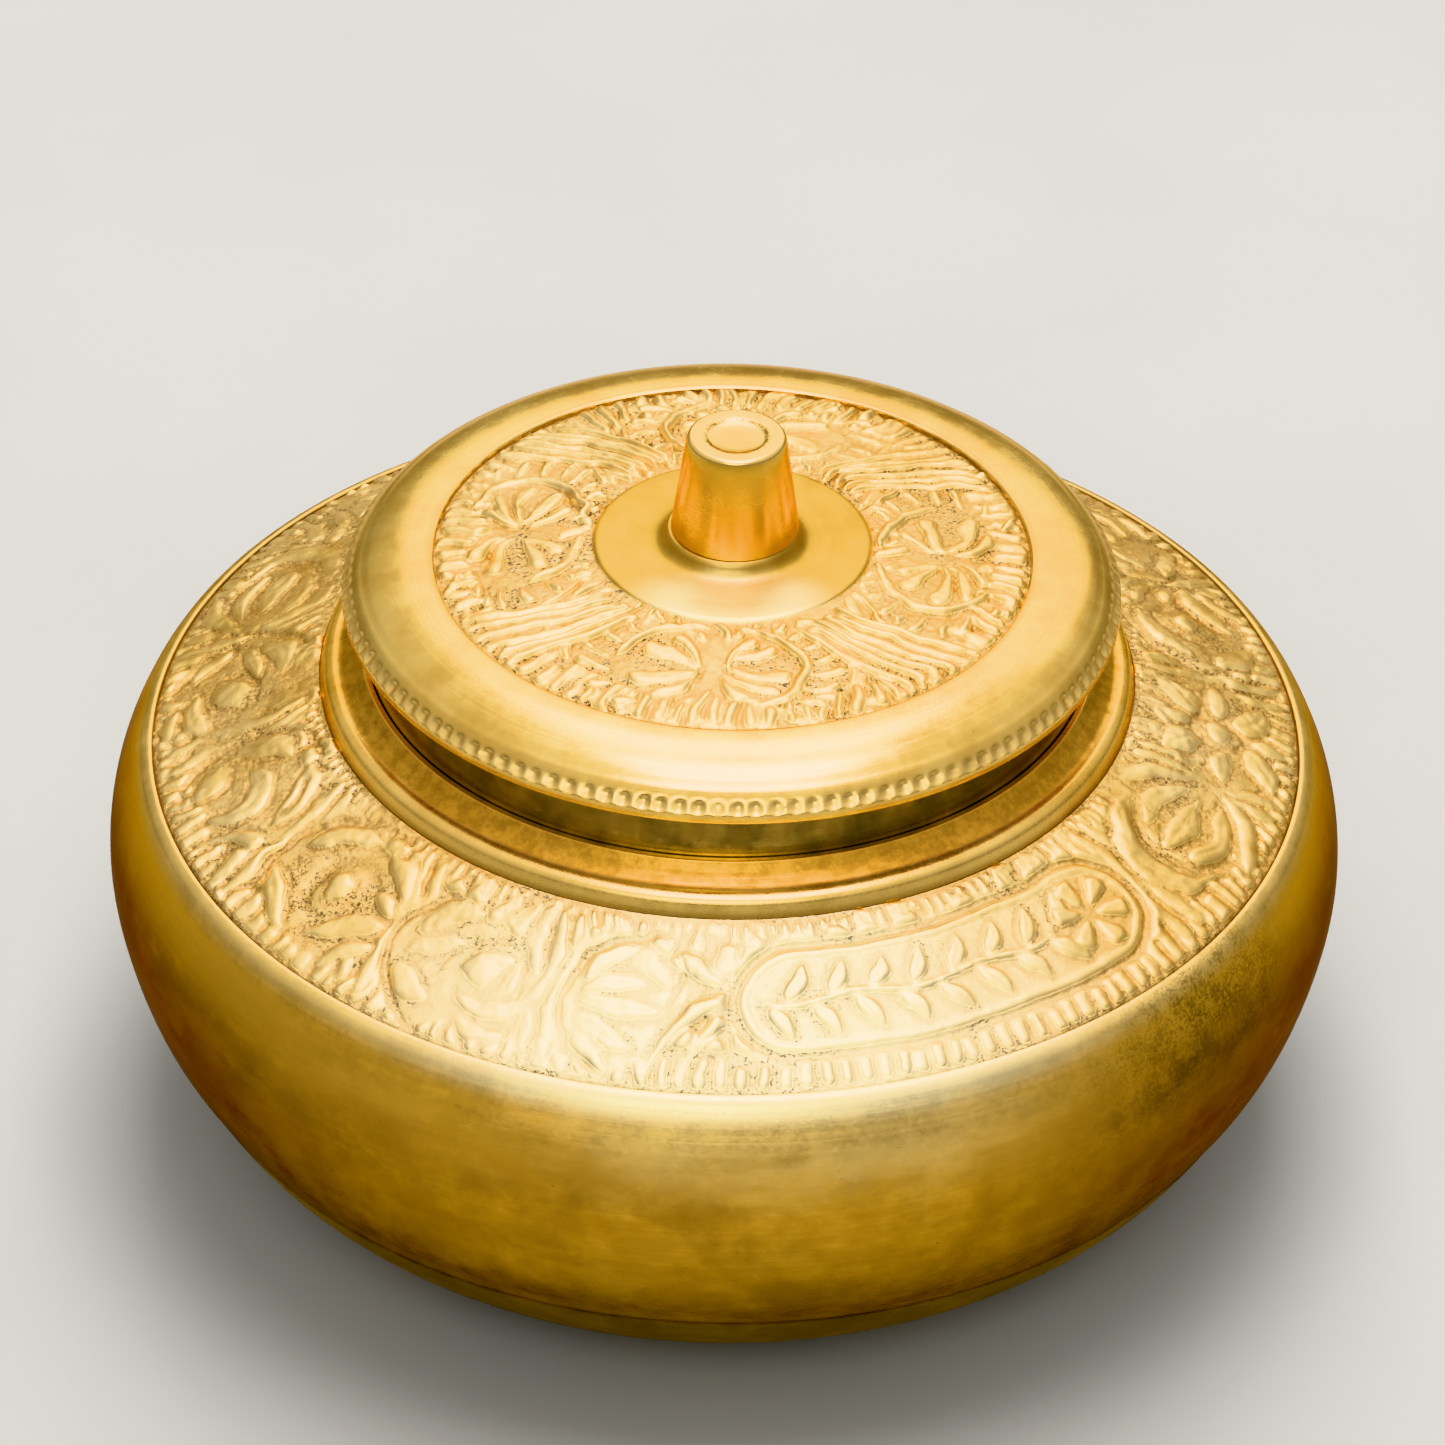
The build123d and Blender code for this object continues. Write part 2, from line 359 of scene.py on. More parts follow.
class Place:
    """Puts a motif's own coordinates onto the ring, with a little of the hand in it."""

    def __init__(self, R, x, y, sx=1.0, sy=1.0, rot=0.0, shake=0.10):
        self.R, self.x, self.y, self.sx, self.sy = R, x, y, sx, sy
        self.c, self.s = math.cos(rot), math.sin(rot)
        self.k = shake

    def p(self, pts):
        pts = np.array(spline(pts, 5) if len(pts) > 2 else pts, float)
        off = self.R.rng.normal(0, self.k, 2)
        turn = self.R.rng.normal(0, 0.035)
        m = pts.mean(0)
        q = pts - m
        pts = m + off + np.stack([q[:, 0] - turn * q[:, 1], q[:, 1] + turn * q[:, 0]], 1)
        X, Y = pts[:, 0] * self.sx, pts[:, 1] * self.sy
        return [(self.x + a * self.c - b * self.s, self.y + a * self.s + b * self.c) for a, b in zip(X, Y)]

    def blade(self, pts, w, h, **k):
        j = 1 + self.R.rng.normal(0, 0.07)
        self.R.blade(self.p(pts), w * j * abs(self.sx * self.sy) ** 0.5, h * (1 + self.R.rng.normal(0, 0.08)), **k)

    def cut(self, pts, w, d):
        self.R.cut(self.p(pts), w, d * (1 + self.R.rng.normal(0, 0.12)))

    def clear(self, pts, w, **k):
        self.R.clear(self.p(pts), w, **k)


# ------------------------------------------------------------------ shoulder ornament
SR_MEAN = (rebate_r + groove_r) / 2
SH_L = 2 * math.pi * SR_MEAN
SH_T = math.hypot(rebate_r - groove_r, groove_z - plate_edge_z)
K = SH_T / 15.0


def hatch(R, x0, x1, y_edge, length, pitch, w, h, outward, slant=0.0, vary=0.3):
    x = x0
    while x < x1:
        ln = length * (1 + R.rng.uniform(-vary, vary))
        ya = y_edge + (-ln if outward else ln)
        sl = slant * ln + R.rng.normal(0, 0.10)
        R.blade([(x + R.rng.normal(0, 0.06), y_edge), (x + sl * 0.5, (y_edge + ya) / 2), (x + sl, ya)],
                w * (1 + R.rng.normal(0, 0.10)), h * (1 + R.rng.normal(0, 0.15)), shape="round", under=0.07)
        x += pitch * (1 + R.rng.uniform(-0.14, 0.14))


def fan_leaf(P):
    """A broad veined leaf held in a C scroll."""
    P.clear([(-3.0, -2.0), (0.5, 0.0), (-2.2, 3.0)], 3.6, to=0.06)
    P.blade([(-1.6, -4.4), (0.8, -3.4), (2.6, -1.6)], 1.35, 0.27)
    P.blade([(-4.6, -1.2), (-3.0, -3.6), (-0.6, -4.9)], 1.20, 0.27, vein=0.08)
    P.blade([(-4.7, -0.2), (-1.6, -1.5), (1.6, -1.6)], 1.10, 0.29, vein=0.10)
    P.blade([(-4.6, 0.7), (-1.2, 1.0), (2.2, 0.7)], 1.15, 0.29, vein=0.08)
    P.blade([(-4.6, 1.8), (-2.4, 3.2), (0.0, 3.6)], 1.15, 0.27, vein=0.08)
    P.blade([(-4.4, 3.2), (-3.2, 4.9), (-1.4, 6.0)], 0.95, 0.24)
    P.cut([(2.0, -6.0), (-0.6, -5.7), (-3.9, -4.6), (-5.8, -1.6), (-5.9, 1.7), (-4.4, 4.6), (-1.4, 7.0)], 0.36, 0.30)
    P.blade([(1.6, -4.0), (4.0, -3.6), (7.2, -1.3)], 1.00, 0.32, ribs=5, rib_d=0.07)
    P.blade([(7.2, -0.7), (4.4, 0.2), (2.3, 2.4), (1.0, 5.6)], 1.05, 0.30, shape="tail")
    P.blade([(6.6, 1.2), (4.8, 3.0), (3.6, 6.2)], 0.75, 0.27, shape="tail")
    P.cut([(1.9, -4.9), (3.4, -2.6), (2.2, 0.4)], 0.26, 0.18)


def veined_leaf(P):
    """A loose leaf with three lobes, a knot and small seeds."""
    P.clear([(-3.0, -1.6), (0.5, 0.0), (-2.0, 2.6)], 3.6, to=0.05)
    P.blade([(-5.0, -1.4), (-3.0, -3.6), (0.2, -4.6)], 1.30, 0.28, vein=0.08)
    P.blade([(-4.6, 0.2), (-2.4, -1.2), (0.4, -1.9)], 1.00, 0.27, vein=0.07)
    P.blade([(-5.0, 1.6), (-3.4, 3.4), (-1.4, 4.2)], 1.25, 0.28)
    P.blade([(-0.4, 0.6), (1.9, 0.0), (3.6, -0.9)], 1.55, 0.30)
    P.cut([(-1.6, 1.7), (-1.2, -0.6), (1.0, -2.2), (3.6, -2.7)], 0.32, 0.20)
    P.cut([(-2.4, -6.0), (-5.2, -3.8), (-6.4, -0.6), (-5.6, 2.4), (-3.2, 5.2), (-1.4, 7.0)], 0.36, 0.28)
    P.blade([(0.6, 3.0), (3.2, 3.4), (6.6, 2.0)], 1.05, 0.28, vein=0.06)
    P.blade([(1.2, 5.0), (3.4, 5.6), (5.0, 5.0)], 0.85, 0.24)
    for k in range(9):
        sx, sy = 3.6 + P.R.rng.uniform(-1.6, 2.4), -4.9 + P.R.rng.uniform(-1.2, 1.7)
        P.blade([(sx, sy), (sx + 0.05, sy)], 0.42, 0.30, shape="round")


def tulip(P):
    """A cupped flower seen from the side, pointing along the ring."""
    P.clear([(-2.0, 0.0), (2.6, 0.0)], 4.2, to=0.05)
    P.blade([(-0.2, -5.1), (-3.6, -3.7), (-5.3, -0.2), (-4.0, 3.3), (-0.6, 5.1)], 1.25, 0.30, vein=0.05)
    P.cut([(0.6, -4.6), (-2.1, -3.0), (-3.3, 0.0), (-2.2, 2.8), (0.4, 4.6)], 0.30, 0.20)
    P.blade([(-1.6, -2.0), (1.6, -3.1), (5.2, -1.5)], 1.05, 0.29, vein=0.08)
    P.blade([(-1.6, 2.1), (1.6, 3.2), (5.2, 1.6)], 1.05, 0.29, vein=0.08)
    P.blade([(-2.4, 0.0), (1.2, 0.1), (4.8, 0.0)], 1.20, 0.31, vein=0.08)
    P.blade([(1.0, -6.3), (4.2, -4.7), (7.1, -0.6)], 1.05, 0.34)
    P.blade([(0.6, 6.5), (4.0, 5.1), (7.1, 0.8)], 1.05, 0.34)


def diamond(P):
    """A four petalled flower with an oval seed."""
    P.clear([(-2.8, 0.0), (2.8, 0.0)], 4.2, to=0.05)
    for sx in (-1, 1):
        for sy in (-1, 1):
            P.blade(bow((1.5 * sx, 1.7 * sy), (5.4 * sx, 4.9 * sy), 0.10 * sx * sy), 1.55, 0.31, vein=0.10, ribs=4)
    P.blade([(-2.0, 0.0), (-6.1, 0.2)], 1.05, 0.27, vein=0.06)
    P.blade([(2.0, 0.0), (6.1, -0.1)], 1.05, 0.27, vein=0.06)
    P.blade([(0.1, -2.6), (0.3, -5.9)], 0.95, 0.27)
    P.blade([(0.0, 2.6), (-0.2, 6.0)], 0.95, 0.27)
    P.cut(arc(0, 0, 1.9, 2.45, 0, 355, 22), 0.32, 0.22)
    P.blade([(0, -1.4), (0, 1.4)], 1.30, 0.38)


def bud(P):
    """A seed pod inside a deep ring, with leaves folding round it."""
    P.clear([(-2.0, -1.0), (2.0, 1.0)], 5.0)
    P.cut([(4.4, -5.9), (0.6, -6.2), (-3.6, -5.0), (-6.1, -1.6), (-6.1, 2.2), (-5.2, 6.0)], 0.40, 0.28)
    P.blade([(-4.8, -0.9), (-2.8, -3.6), (1.3, -4.9)], 1.15, 0.34, vein=0.05)
    P.blade([(-4.8, 1.4), (-3.0, 3.4), (-0.6, 5.9)], 1.15, 0.32, vein=0.05)
    P.cut(arc(0.9, 0.1, 2.4, 2.9, 0, 355, 24), 0.62, 0.20)
    P.blade([(0.8, -1.3), (1.0, 1.4)], 1.25, 0.40)
    P.blade([(2.4, -4.4), (4.9, -3.6), (6.8, -1.6)], 1.00, 0.30, ribs=4)
    P.blade([(3.9, -1.2), (6.8, 0.1)], 1.00, 0.28)
    P.blade([(6.9, 0.9), (4.3, 2.6), (1.4, 4.8)], 1.15, 0.33)
    P.blade([(7.0, 2.8), (4.9, 4.4), (3.8, 6.4)], 0.80, 0.27)


def loop_leaf(P):
    """A curled leaf with a looped tip."""
    P.clear([(-2.4, 0.0), (2.4, 0.0)], 4.6, to=0.05)
    P.cut([(1.4, -5.9), (-3.2, -5.3), (-5.8, -2.2), (-5.7, 1.8), (-4.0, 5.2), (-1.6, 6.4)], 0.40, 0.28)
    P.blade([(-4.9, 0.2), (-3.4, -2.6), (-0.4, -4.4)], 1.35, 0.29, ribs=5)
    P.blade([(-4.6, 1.6), (-2.8, 2.8), (-1.7, 5.2)], 1.25, 0.28, ribs=5)
    P.blade([(-2.2, -0.2), (0.2, -0.6), (2.2, 1.6), (1.3, 4.8)], 1.25, 0.32, vein=0.06)
    P.blade([(1.5, -5.3), (4.4, -3.2), (5.6, 0.0)], 1.55, 0.31)
    P.cut([(2.4, -4.3), (4.3, -2.7), (4.9, -0.9)], 0.42, 0.26)
    P.blade([(6.7, 1.8), (4.6, 3.0), (2.9, 5.8)], 1.00, 0.30, shape="tail")


def cartouche(R, x0, x1, yc, hh):
    """A long plain tablet with round ends. It holds a running leaf scroll and a rosette."""
    R.clear([(x0 + hh, yc), (x1 - hh, yc)], hh + 0.5, to=0.10)
    # a leafy spray
    xa, xb = x0 + 2.2, x1 - 8.8
    wave = lambda x: yc + 0.35 * math.sin((x - xa) * 0.62)
    R.blade([(x, wave(x)) for x in np.linspace(xa, xb, 50)], 0.36, 0.27, shape="round", under=0.06, base=0.10)
    n = 8
    for i in range(n):
        xm = xa + 0.5 + (xb - xa - 1.2) * i / (n - 1)
        for s in (-1, 1):
            q = xm + (0.0 if s > 0 else 1.3)
            r = R.rng.normal(0, 0.10, 3)
            R.blade([(q, wave(q) + 0.35 * s), (q + 1.25 + r[0], yc + 1.7 * s), (q + 1.75 + r[1], yc + (3.3 + r[2]) * s)],
                    0.82, 0.30, vein=0.09, base=0.10)
    R.bead(xb + 0.5, wave(xb), 0.62, 0.40)
    # the rosette
    cx, cy = x1 - 4.9, yc
    for k in range(6):
        a = 2 * math.pi * k / 6 + 0.35
        R.blade([(cx + 1.0 * math.cos(a), cy + 1.0 * math.sin(a)), (cx + 3.4 * math.cos(a), cy + 3.4 * math.sin(a))],
                1.15, 0.36, shape="drop", vein=0.06, base=0.10)
    R.bead(cx, cy, 1.10, 0.52)
    # the border line
    a0 = [(x0 + hh + (x1 - x0 - 2 * hh) * t, yc - hh) for t in np.linspace(0, 1, 30)]
    a1 = arc(x1 - hh, yc, hh, hh, -90, 90, 20)
    a2 = [(x1 - hh - (x1 - x0 - 2 * hh) * t, yc + hh) for t in np.linspace(0, 1, 30)]
    a3 = arc(x0 + hh, yc, hh, hh, 90, 270, 20)
    loop = a0 + a1[1:] + a2[1:] + a3[1:]
    loop = [(x + 0.10 * math.sin(x * 0.7), y + 0.10 * math.sin(x * 0.45 + 1)) for x, y in loop]
    d0 = 0.24
    win = R.window(loop, 1.2)
    j0, j1, cols, X, Y = win
    d, _, _ = R.near(loop, X, Y)
    sub = R.h[j0:j1][:, cols]
    inside = (np.abs(Y - yc) < hh) & (X > x0) & (X < x1)
    lip = 0.12 * np.exp(-(((d - 0.75) / 0.40) ** 2))
    sub = sub + lip * inside - d0 * np.exp(-((d / 0.36) ** 2))
    R.h[j0:j1, cols] = sub


def shoulder_relief():
    R = Relief(SH_L, SH_T, 0.085, 11)
    T = SH_T
    # strokes everywhere first, then the edge hatching, then the motifs over both
    fill(R, 0.9, T - 1.0, 2.75, 3, 4.9, 1.22, 0.24, 38)
    R.clear([(-60.0, T - 1.6), (60.0, T - 1.6)], 1.9, soft=0.3)
    R.clear([(60.0, T - 1.6), (SH_L - 60.0, T - 1.6)], 1.9, soft=0.3)
    hatch(R, 0.0, SH_L - 0.6, T - 0.30, 2.8 * K, 1.34, 0.56, 0.25, True, slant=0.06, vary=0.35)
    hatch(R, 0.0, SH_L - 0.6, 0.40, 1.3 * K, 1.15, 0.44, 0.14, False, slant=0.1, vary=0.45)
    span = SH_L - 37.2
    start = 38.0
    n = 15
    pitch = span / n
    kinds = [tulip, diamond, bud, veined_leaf, tulip, loop_leaf, diamond, bud, fan_leaf, tulip,
             veined_leaf, loop_leaf, bud, veined_leaf, fan_leaf]
    for i in range(n):
        # long stems between the motifs
        xb = start + pitch * i
        for k in range(2):
            o = -0.9 + 1.7 * k + R.rng.normal(0, 0.15)
            R.blade([(xb + o - 0.6, 1.0), (xb + o + 0.7, 4.6), (xb + o - 0.2, 9.4), (xb + o + 0.5, 14.0)],
                    0.74, 0.25, shape="round", under=0.09)
    for i in range(n):
        xc = start + pitch * (i + 0.5)
        P = Place(R, xc, T * 0.5 + R.rng.normal(0, 0.15), 1.0 * K * (1 + R.rng.normal(0, 0.02)), 1.0 * K, rot=R.rng.normal(0, 0.05))
        kinds[i](P)
    # clusters of small beads between two motifs, near the collar
    for xb in (start + pitch * 4, start + pitch * 8):
        for k in range(9):
            R.bead(xb + R.rng.uniform(-1.5, 1.2), 1.6 + R.rng.uniform(-0.6, 1.7), 0.36, 0.30)
    cartouche(R, 0.9, 36.9, T * 0.490, 4.75 * K)
    X, Y = np.meshgrid(np.arange(R.W) * R.px, np.arange(R.N) * R.py)
    R.calm = np.clip((X + 1.0) / 2, 0, 1) * np.clip((39.5 - X) / 2, 0, 1)
    return R


def fill(R, y0, y1, step, rows, length, w, h, lean):
    """Loose strokes that leave no bare ground between the motifs."""
    for j in range(rows):
        x = R.rng.uniform(0, step)
        while x < R.L - step * 0.4:
            yc = y0 + (y1 - y0) * (j + 0.5 + R.rng.normal(0, 0.12)) / rows
            a = math.radians(90 + lean * math.sin(2 * math.pi * x / 14.4 + j * 1.3) + R.rng.normal(0, 16))
            ln = length * (1 + R.rng.uniform(-0.30, 0.45)) / 2
            c, q = math.cos(a) * ln, math.sin(a) * ln
            R.blade(bow((x - c, yc - q), (x + c, yc + q), R.rng.normal(0, 0.12), 7), w * (1 + R.rng.normal(0, 0.16)),
                    h * (1 + R.rng.normal(0, 0.18)), shape="round", under=0.07)
            x += step * (1 + R.rng.uniform(-0.22, 0.22))


def worn(R, soft, warp, crumple, wob, gain=1.0):
    """The hand's wavering line, a worn and softened casting, and its grain."""
    X, Y = np.meshgrid(np.arange(R.W) * R.px, np.arange(R.N) * R.py)
    wx, wy = R.noise(0.85) * warp + R.noise(0.4) * warp * 0.4, R.noise(0.85) * warp + R.noise(0.4) * warp * 0.4
    lim = np.minimum(1, np.minimum(Y, R.T - Y) / 0.8)
    calm = 1 - 0.72 * R.calm
    h = R.sample(R.h, X + wx * calm, np.clip(Y + wy * lim * calm, 0, R.T))
    h = R.blur(h, soft)
    press = R.ridged(0.42) * 0.7 + R.ridged(0.9) * 0.6
    h = h * (1 + 0.26 * R.noise(1.6) * calm) + crumple * press * calm
    low = R.blur(h, 0.60)
    deep = (low - h) / 0.10
    hold = np.clip(deep + 0.35, 0, 1)
    h = h + 0.016 * R.noise(0.12) * (0.25 + 0.95 * hold) + 0.010 * R.noise(0.24) * (0.4 + 0.6 * hold) + wob * R.noise(2.2)
    floor_h = np.clip((0.15 - h) / 0.15, -0.6, 1.0)
    R.final, R.cav = h * gain, np.clip(deep * 0.85 + 0.45 * floor_h, -0.6, 1.5)
    return R


# ------------------------------------------------------------------ lid ornament
LD_MEAN = (lip_r + disc_r) / 2
LD_L = 2 * math.pi * LD_MEAN
LD_T = lip_r - disc_r


def palmette(P, kind):
    """Petals fanned out from a pivot inside a comb of short ones."""
    P.clear([(2.4, -0.2), (6.0, -0.2), (9.4, -0.2)], 3.6)
    fan = [(62, 5.4, 0.78), (36, 6.4, 0.98), (8, 7.2, 1.10), (-20, 6.9, 1.02), (-48, 5.9, 0.86)] if kind == 0 else [(54, 5.8, 0.90), (22, 7.0, 1.15), (-12, 7.3, 1.18), (-44, 6.2, 0.95)]
    for ang, ln, w in fan:
        c, q = math.cos(math.radians(ang)), math.sin(math.radians(ang)) * 0.86
        P.blade(bow((0.9 * c, 0.9 * q), (ln * c, ln * q), 0.07 * (1 if ang > 0 else -1)), w, 0.40, shape="drop", vein=0.05 if w > 0.9 else 0.0)
    a0, a1 = (-78, 74) if kind == 0 else (-92, 8)
    P.blade(arc(0.6, -0.2, 7.9, 5.0, a0, a1, 20), 0.60, 0.38, shape="round", under=0.10)
    m = 9 if kind == 0 else 8
    for k in range(m):
        a = math.radians(-64 + 128 * k / (m - 1))
        c, q = math.cos(a), math.sin(a)
        P.blade(bow((0.6 + 8.7 * c, -0.2 + 5.5 * q), (0.6 + (11.6 + 0.5 * (k % 2)) * c, -0.2 + 6.9 * q), 0.05), 0.60, 0.38, shape="drop")
    P.blade(arc(0.8, -0.2, 12.4, 7.0, -34, 34, 14), 0.40, 0.30, shape="round", under=0.08)


def lid_relief():
    R = Relief(LD_L, LD_T, 0.07, 5)
    T = LD_T
    fill(R, 0.6, T - 0.4, 1.60, 3, 4.8, 0.66, 0.27, 38)
    hatch(R, 0.0, LD_L - 0.5, T - 0.20, 3.6, 1.16, 0.44, 0.32, True, slant=0.10, vary=0.35)
    q = LD_L / 4
    for i in range(4):
        for s in (1, -1):
            P = Place(R, -1.5 + q * i + s * 0.5, T * 0.46 + R.rng.normal(0, 0.15), s * (0.84 + R.rng.normal(0, 0.02)), 0.98, rot=R.rng.normal(0, 0.04))
            palmette(P, (i + (s < 0)) % 2)
    # bundles of long ridges between the pairs
    for j in range(4):
        xb, s = -1.5 + q * (j + 0.5), (1, -1, 1, -1)[j]
        for k in range(6):
            o = -2.7 + 1.06 * k + R.rng.normal(0, 0.10)
            e0, e1 = 0.6 + R.rng.uniform(0, 1.2), T - 0.3 - R.rng.uniform(0, 0.7)
            R.blade([(xb + s * (o - 2.3), e0), (xb + s * (o - 0.5 + R.rng.normal(0, 0.12)), T * 0.36), (xb + s * (o + 1.1 + R.rng.normal(0, 0.12)), T * 0.68), (xb + s * (o + 2.3), e1)],
                    0.44, 0.40, shape="round", under=0.10)
    return R


# ------------------------------------------------------------------ materials
def material(name):
    m = bpy.data.materials.new(name)
    m.use_nodes = True
    nt = m.node_tree
    nt.nodes.clear()
    out = nt.nodes.new("ShaderNodeOutputMaterial")
    bs = nt.nodes.new("ShaderNodeBsdfPrincipled")
    nt.links.new(bs.outputs[0], out.inputs[0])
    return m, nt, bs


class Graph:
    """Small helpers that make the node graphs below readable."""

    def __init__(self, nt):
        self.nt = nt
        tc = nt.nodes.new("ShaderNodeTexCoord")
        self.pos = self.vec("MULTIPLY", tc.outputs["Object"], (1000, 1000, 1000))
        sep = nt.nodes.new("ShaderNodeSeparateXYZ")
        nt.links.new(self.pos, sep.inputs[0])
        self.x, self.y, self.z = sep.outputs
        self.r = self.math("SQRT", self.math("ADD", self.math("MULTIPLY", self.x, self.x), self.math("MULTIPLY", self.y, self.y)))
        self.a = self.math("ARCTAN2", self.y, self.x)

    def _in(self, sock, val):
        if isinstance(val, bpy.types.NodeSocket):
            self.nt.links.new(val, sock)
        else:
            sock.default_value = val

    def math(self, op, a, b=None, c=None, clamp=False):
        n = self.nt.nodes.new("ShaderNodeMath")
        n.operation, n.use_clamp = op, clamp
        self._in(n.inputs[0], a)
        if b is not None:
            self._in(n.inputs[1], b)
        if c is not None:
            self._in(n.inputs[2], c)
        return n.outputs[0]

    def vec(self, op, a, b=None):
        n = self.nt.nodes.new("ShaderNodeVectorMath")
        n.operation = op
        self._in(n.inputs[0], a)
        if b is not None:
            self._in(n.inputs[1], b)
        return n.outputs["Value"] if op in ("LENGTH", "DOT_PRODUCT") else n.outputs[0]

    def combine(self, x, y, z):
        n = self.nt.nodes.new("ShaderNodeCombineXYZ")
        for s, v in zip(n.inputs, (x, y, z)):
            self._in(s, v)
        return n.outputs[0]

    def noise(self, scale, detail=4, rough=0.55, vec=None, dist=0.0, w=None):
        n = self.nt.nodes.new("ShaderNodeTexNoise")
        self._in(n.inputs["Vector"], vec if vec is not None else self.pos)
        n.inputs["Scale"].default_value = scale
        n.inputs["Detail"].default_value = detail
        n.inputs["Roughness"].default_value = rough
        n.inputs["Distortion"].default_value = dist
        return n.outputs["Fac"]

    def voronoi(self, scale, vec=None, feature="F1", rnd=1.0):
        n = self.nt.nodes.new("ShaderNodeTexVoronoi")
        n.feature = feature
        self._in(n.inputs["Vector"], vec if vec is not None else self.pos)
        n.inputs["Scale"].default_value = scale
        n.inputs["Randomness"].default_value = rnd
        return n.outputs["Distance"]

    def shift(self, off, mul=(1, 1, 1), vec=None):
        v = self.vec("MULTIPLY", vec if vec is not None else self.pos, mul)
        return self.vec("ADD", v, off)

    def ramp(self, v, lo, hi, a=0.0, b=1.0, smooth=True):
        n = self.nt.nodes.new("ShaderNodeMapRange")
        n.interpolation_type = "SMOOTHSTEP" if smooth else "LINEAR"
        self._in(n.inputs["Value"], v)
        n.inputs["From Min"].default_value, n.inputs["From Max"].default_value = lo, hi
        n.inputs["To Min"].default_value, n.inputs["To Max"].default_value = a, b
        return n.outputs["Result"]

    def mix(self, f, a, b):
        n = self.nt.nodes.new("ShaderNodeMix")
        n.data_type = "RGBA"
        n.clamp_factor = True
        self._in(n.inputs["Factor"], f)
        col = [s for s in n.inputs if s.type == "RGBA"]
        for s, v in zip(col, (a, b)):
            if isinstance(v, bpy.types.NodeSocket):
                self.nt.links.new(v, s)
            else:
                s.default_value = (*v, 1.0)
        return [s for s in n.outputs if s.type == "RGBA"][0]

    def colours(self, v, stops):
        n = self.nt.nodes.new("ShaderNodeValToRGB")
        self._in(n.inputs[0], v)
        el = n.color_ramp.elements
        while len(el) < len(stops):
            el.new(0.5)
        for e, (p, c) in zip(el, stops):
            e.position = p
            e.color = (*c, 1.0)
        return n.outputs[0]

    def bump(self, height, dist_mm, strength=1.0, normal=None):
        n = self.nt.nodes.new("ShaderNodeBump")
        n.inputs["Strength"].default_value = strength
        n.inputs["Distance"].default_value = dist_mm * MM
        self._in(n.inputs["Height"], height)
        if normal is not None:
            self.nt.links.new(normal, n.inputs["Normal"])
        return n.outputs[0]

    def attr(self, name):
        n = self.nt.nodes.new("ShaderNodeAttribute")
        n.attribute_name = name
        return n.outputs["Fac"]


def brass(name, pale, mid, deep, rough=(0.26, 0.40), turned=0.0, turned_f=6.0, patina=None, patina_amt=0.0,
          specks=0.0, cavity=False, grain=0.006, scratches=0.0, spot=None, side=False, aniso=0.0):
    m, nt, bs = material(name)
    g = Graph(nt)
    big = g.noise(0.055, 3, 0.5, g.shift((11.3, 4.1, 7.7)))
    med = g.noise(0.30, 5, 0.6, g.shift((3.3, 9.1, 1.7)))
    fine = g.noise(1.9, 4, 0.6)
    tone = g.math("ADD", g.math("MULTIPLY", big, 0.55), g.math("MULTIPLY", med, 0.45))
    col = g.colours(g.ramp(tone, 0.36, 0.64), [(0.0, deep), (0.5, mid), (1.0, pale)])
    rough_v = g.ramp(g.math("ADD", g.math("MULTIPLY", med, 0.6), g.math("MULTIPLY", fine, 0.4)), 0.35, 0.65, rough[0], rough[1])
    height = g.math("MULTIPLY", g.noise(3.2, 5, 0.65), 1.0)
    nrm = g.bump(height, grain)
    if turned:
        lines = g.noise(1.0, 3, 0.75, g.combine(g.math("MULTIPLY", g.r, turned_f), g.math("MULTIPLY", g.z, turned_f),
                                               g.math("MULTIPLY", g.a, 0.6)))
        nrm = g.bump(lines, turned, normal=nrm)
        fade = g.ramp(lines, 0.35, 0.65, -0.04, 0.04)
        rough_v = g.math("ADD", rough_v, fade)
        col = g.mix(g.ramp(lines, 0.30, 0.70, 0.0, 0.22), col, deep)
    if scratches:
        s1 = g.noise(1.0, 2, 0.6, g.combine(g.math("ADD", g.math("MULTIPLY", g.a, 16.0), g.math("MULTIPLY", g.z, 0.9)),
                                           g.math("ADD", g.math("MULTIPLY", g.z, 7.0), g.math("MULTIPLY", g.a, 40.0)), g.math("MULTIPLY", g.r, 0.4)))
        s = g.ramp(s1, 0.68, 0.74)
        gate = g.ramp(g.noise(0.22, 2, 0.5, g.shift((40, 2, 9))), 0.52, 0.62)
        s = g.math("MULTIPLY", s, gate)
        col = g.mix(g.math("MULTIPLY", s, scratches), col, pale)
    if patina:
        p = g.ramp(g.noise(0.11, 6, 0.62, g.shift((21.0, 8.0, 3.0))), 0.42, 0.68)
        p = g.math("MULTIPLY", p, g.ramp(g.z, 30.0, 36.0, 1.0, 0.35))
        col = g.mix(g.math("MULTIPLY", p, patina_amt), col, patina)
        rough_v = g.math("ADD", rough_v, g.math("MULTIPLY", p, 0.07))
    if specks:
        v = g.voronoi(1.15, g.shift((5, 1, 2)))
        dot = g.ramp(v, 0.05, 0.16, 1.0, 0.0)
        gate = g.ramp(g.noise(0.35, 3, 0.6, g.shift((9, 30, 4))), 0.55, 0.68)
        dot = g.math("MULTIPLY", dot, gate)
        col = g.mix(g.math("MULTIPLY", dot, specks), col, (0.060, 0.028, 0.006))
    return m, nt, bs, g, col, rough_v, nrm


def finish_brass(m, nt, bs, col, rough_v, nrm, aniso=0.0):
    nt.links.new(col, bs.inputs["Base Color"])
    nt.links.new(rough_v, bs.inputs["Roughness"])
    nt.links.new(nrm, bs.inputs["Normal"])
    bs.inputs["Metallic"].default_value = 1.0
    bs.inputs["Specular Tint"].default_value = (1.0, 0.76, 0.40, 1.0)
    bs.inputs["Anisotropic"].default_value = aniso
    return m


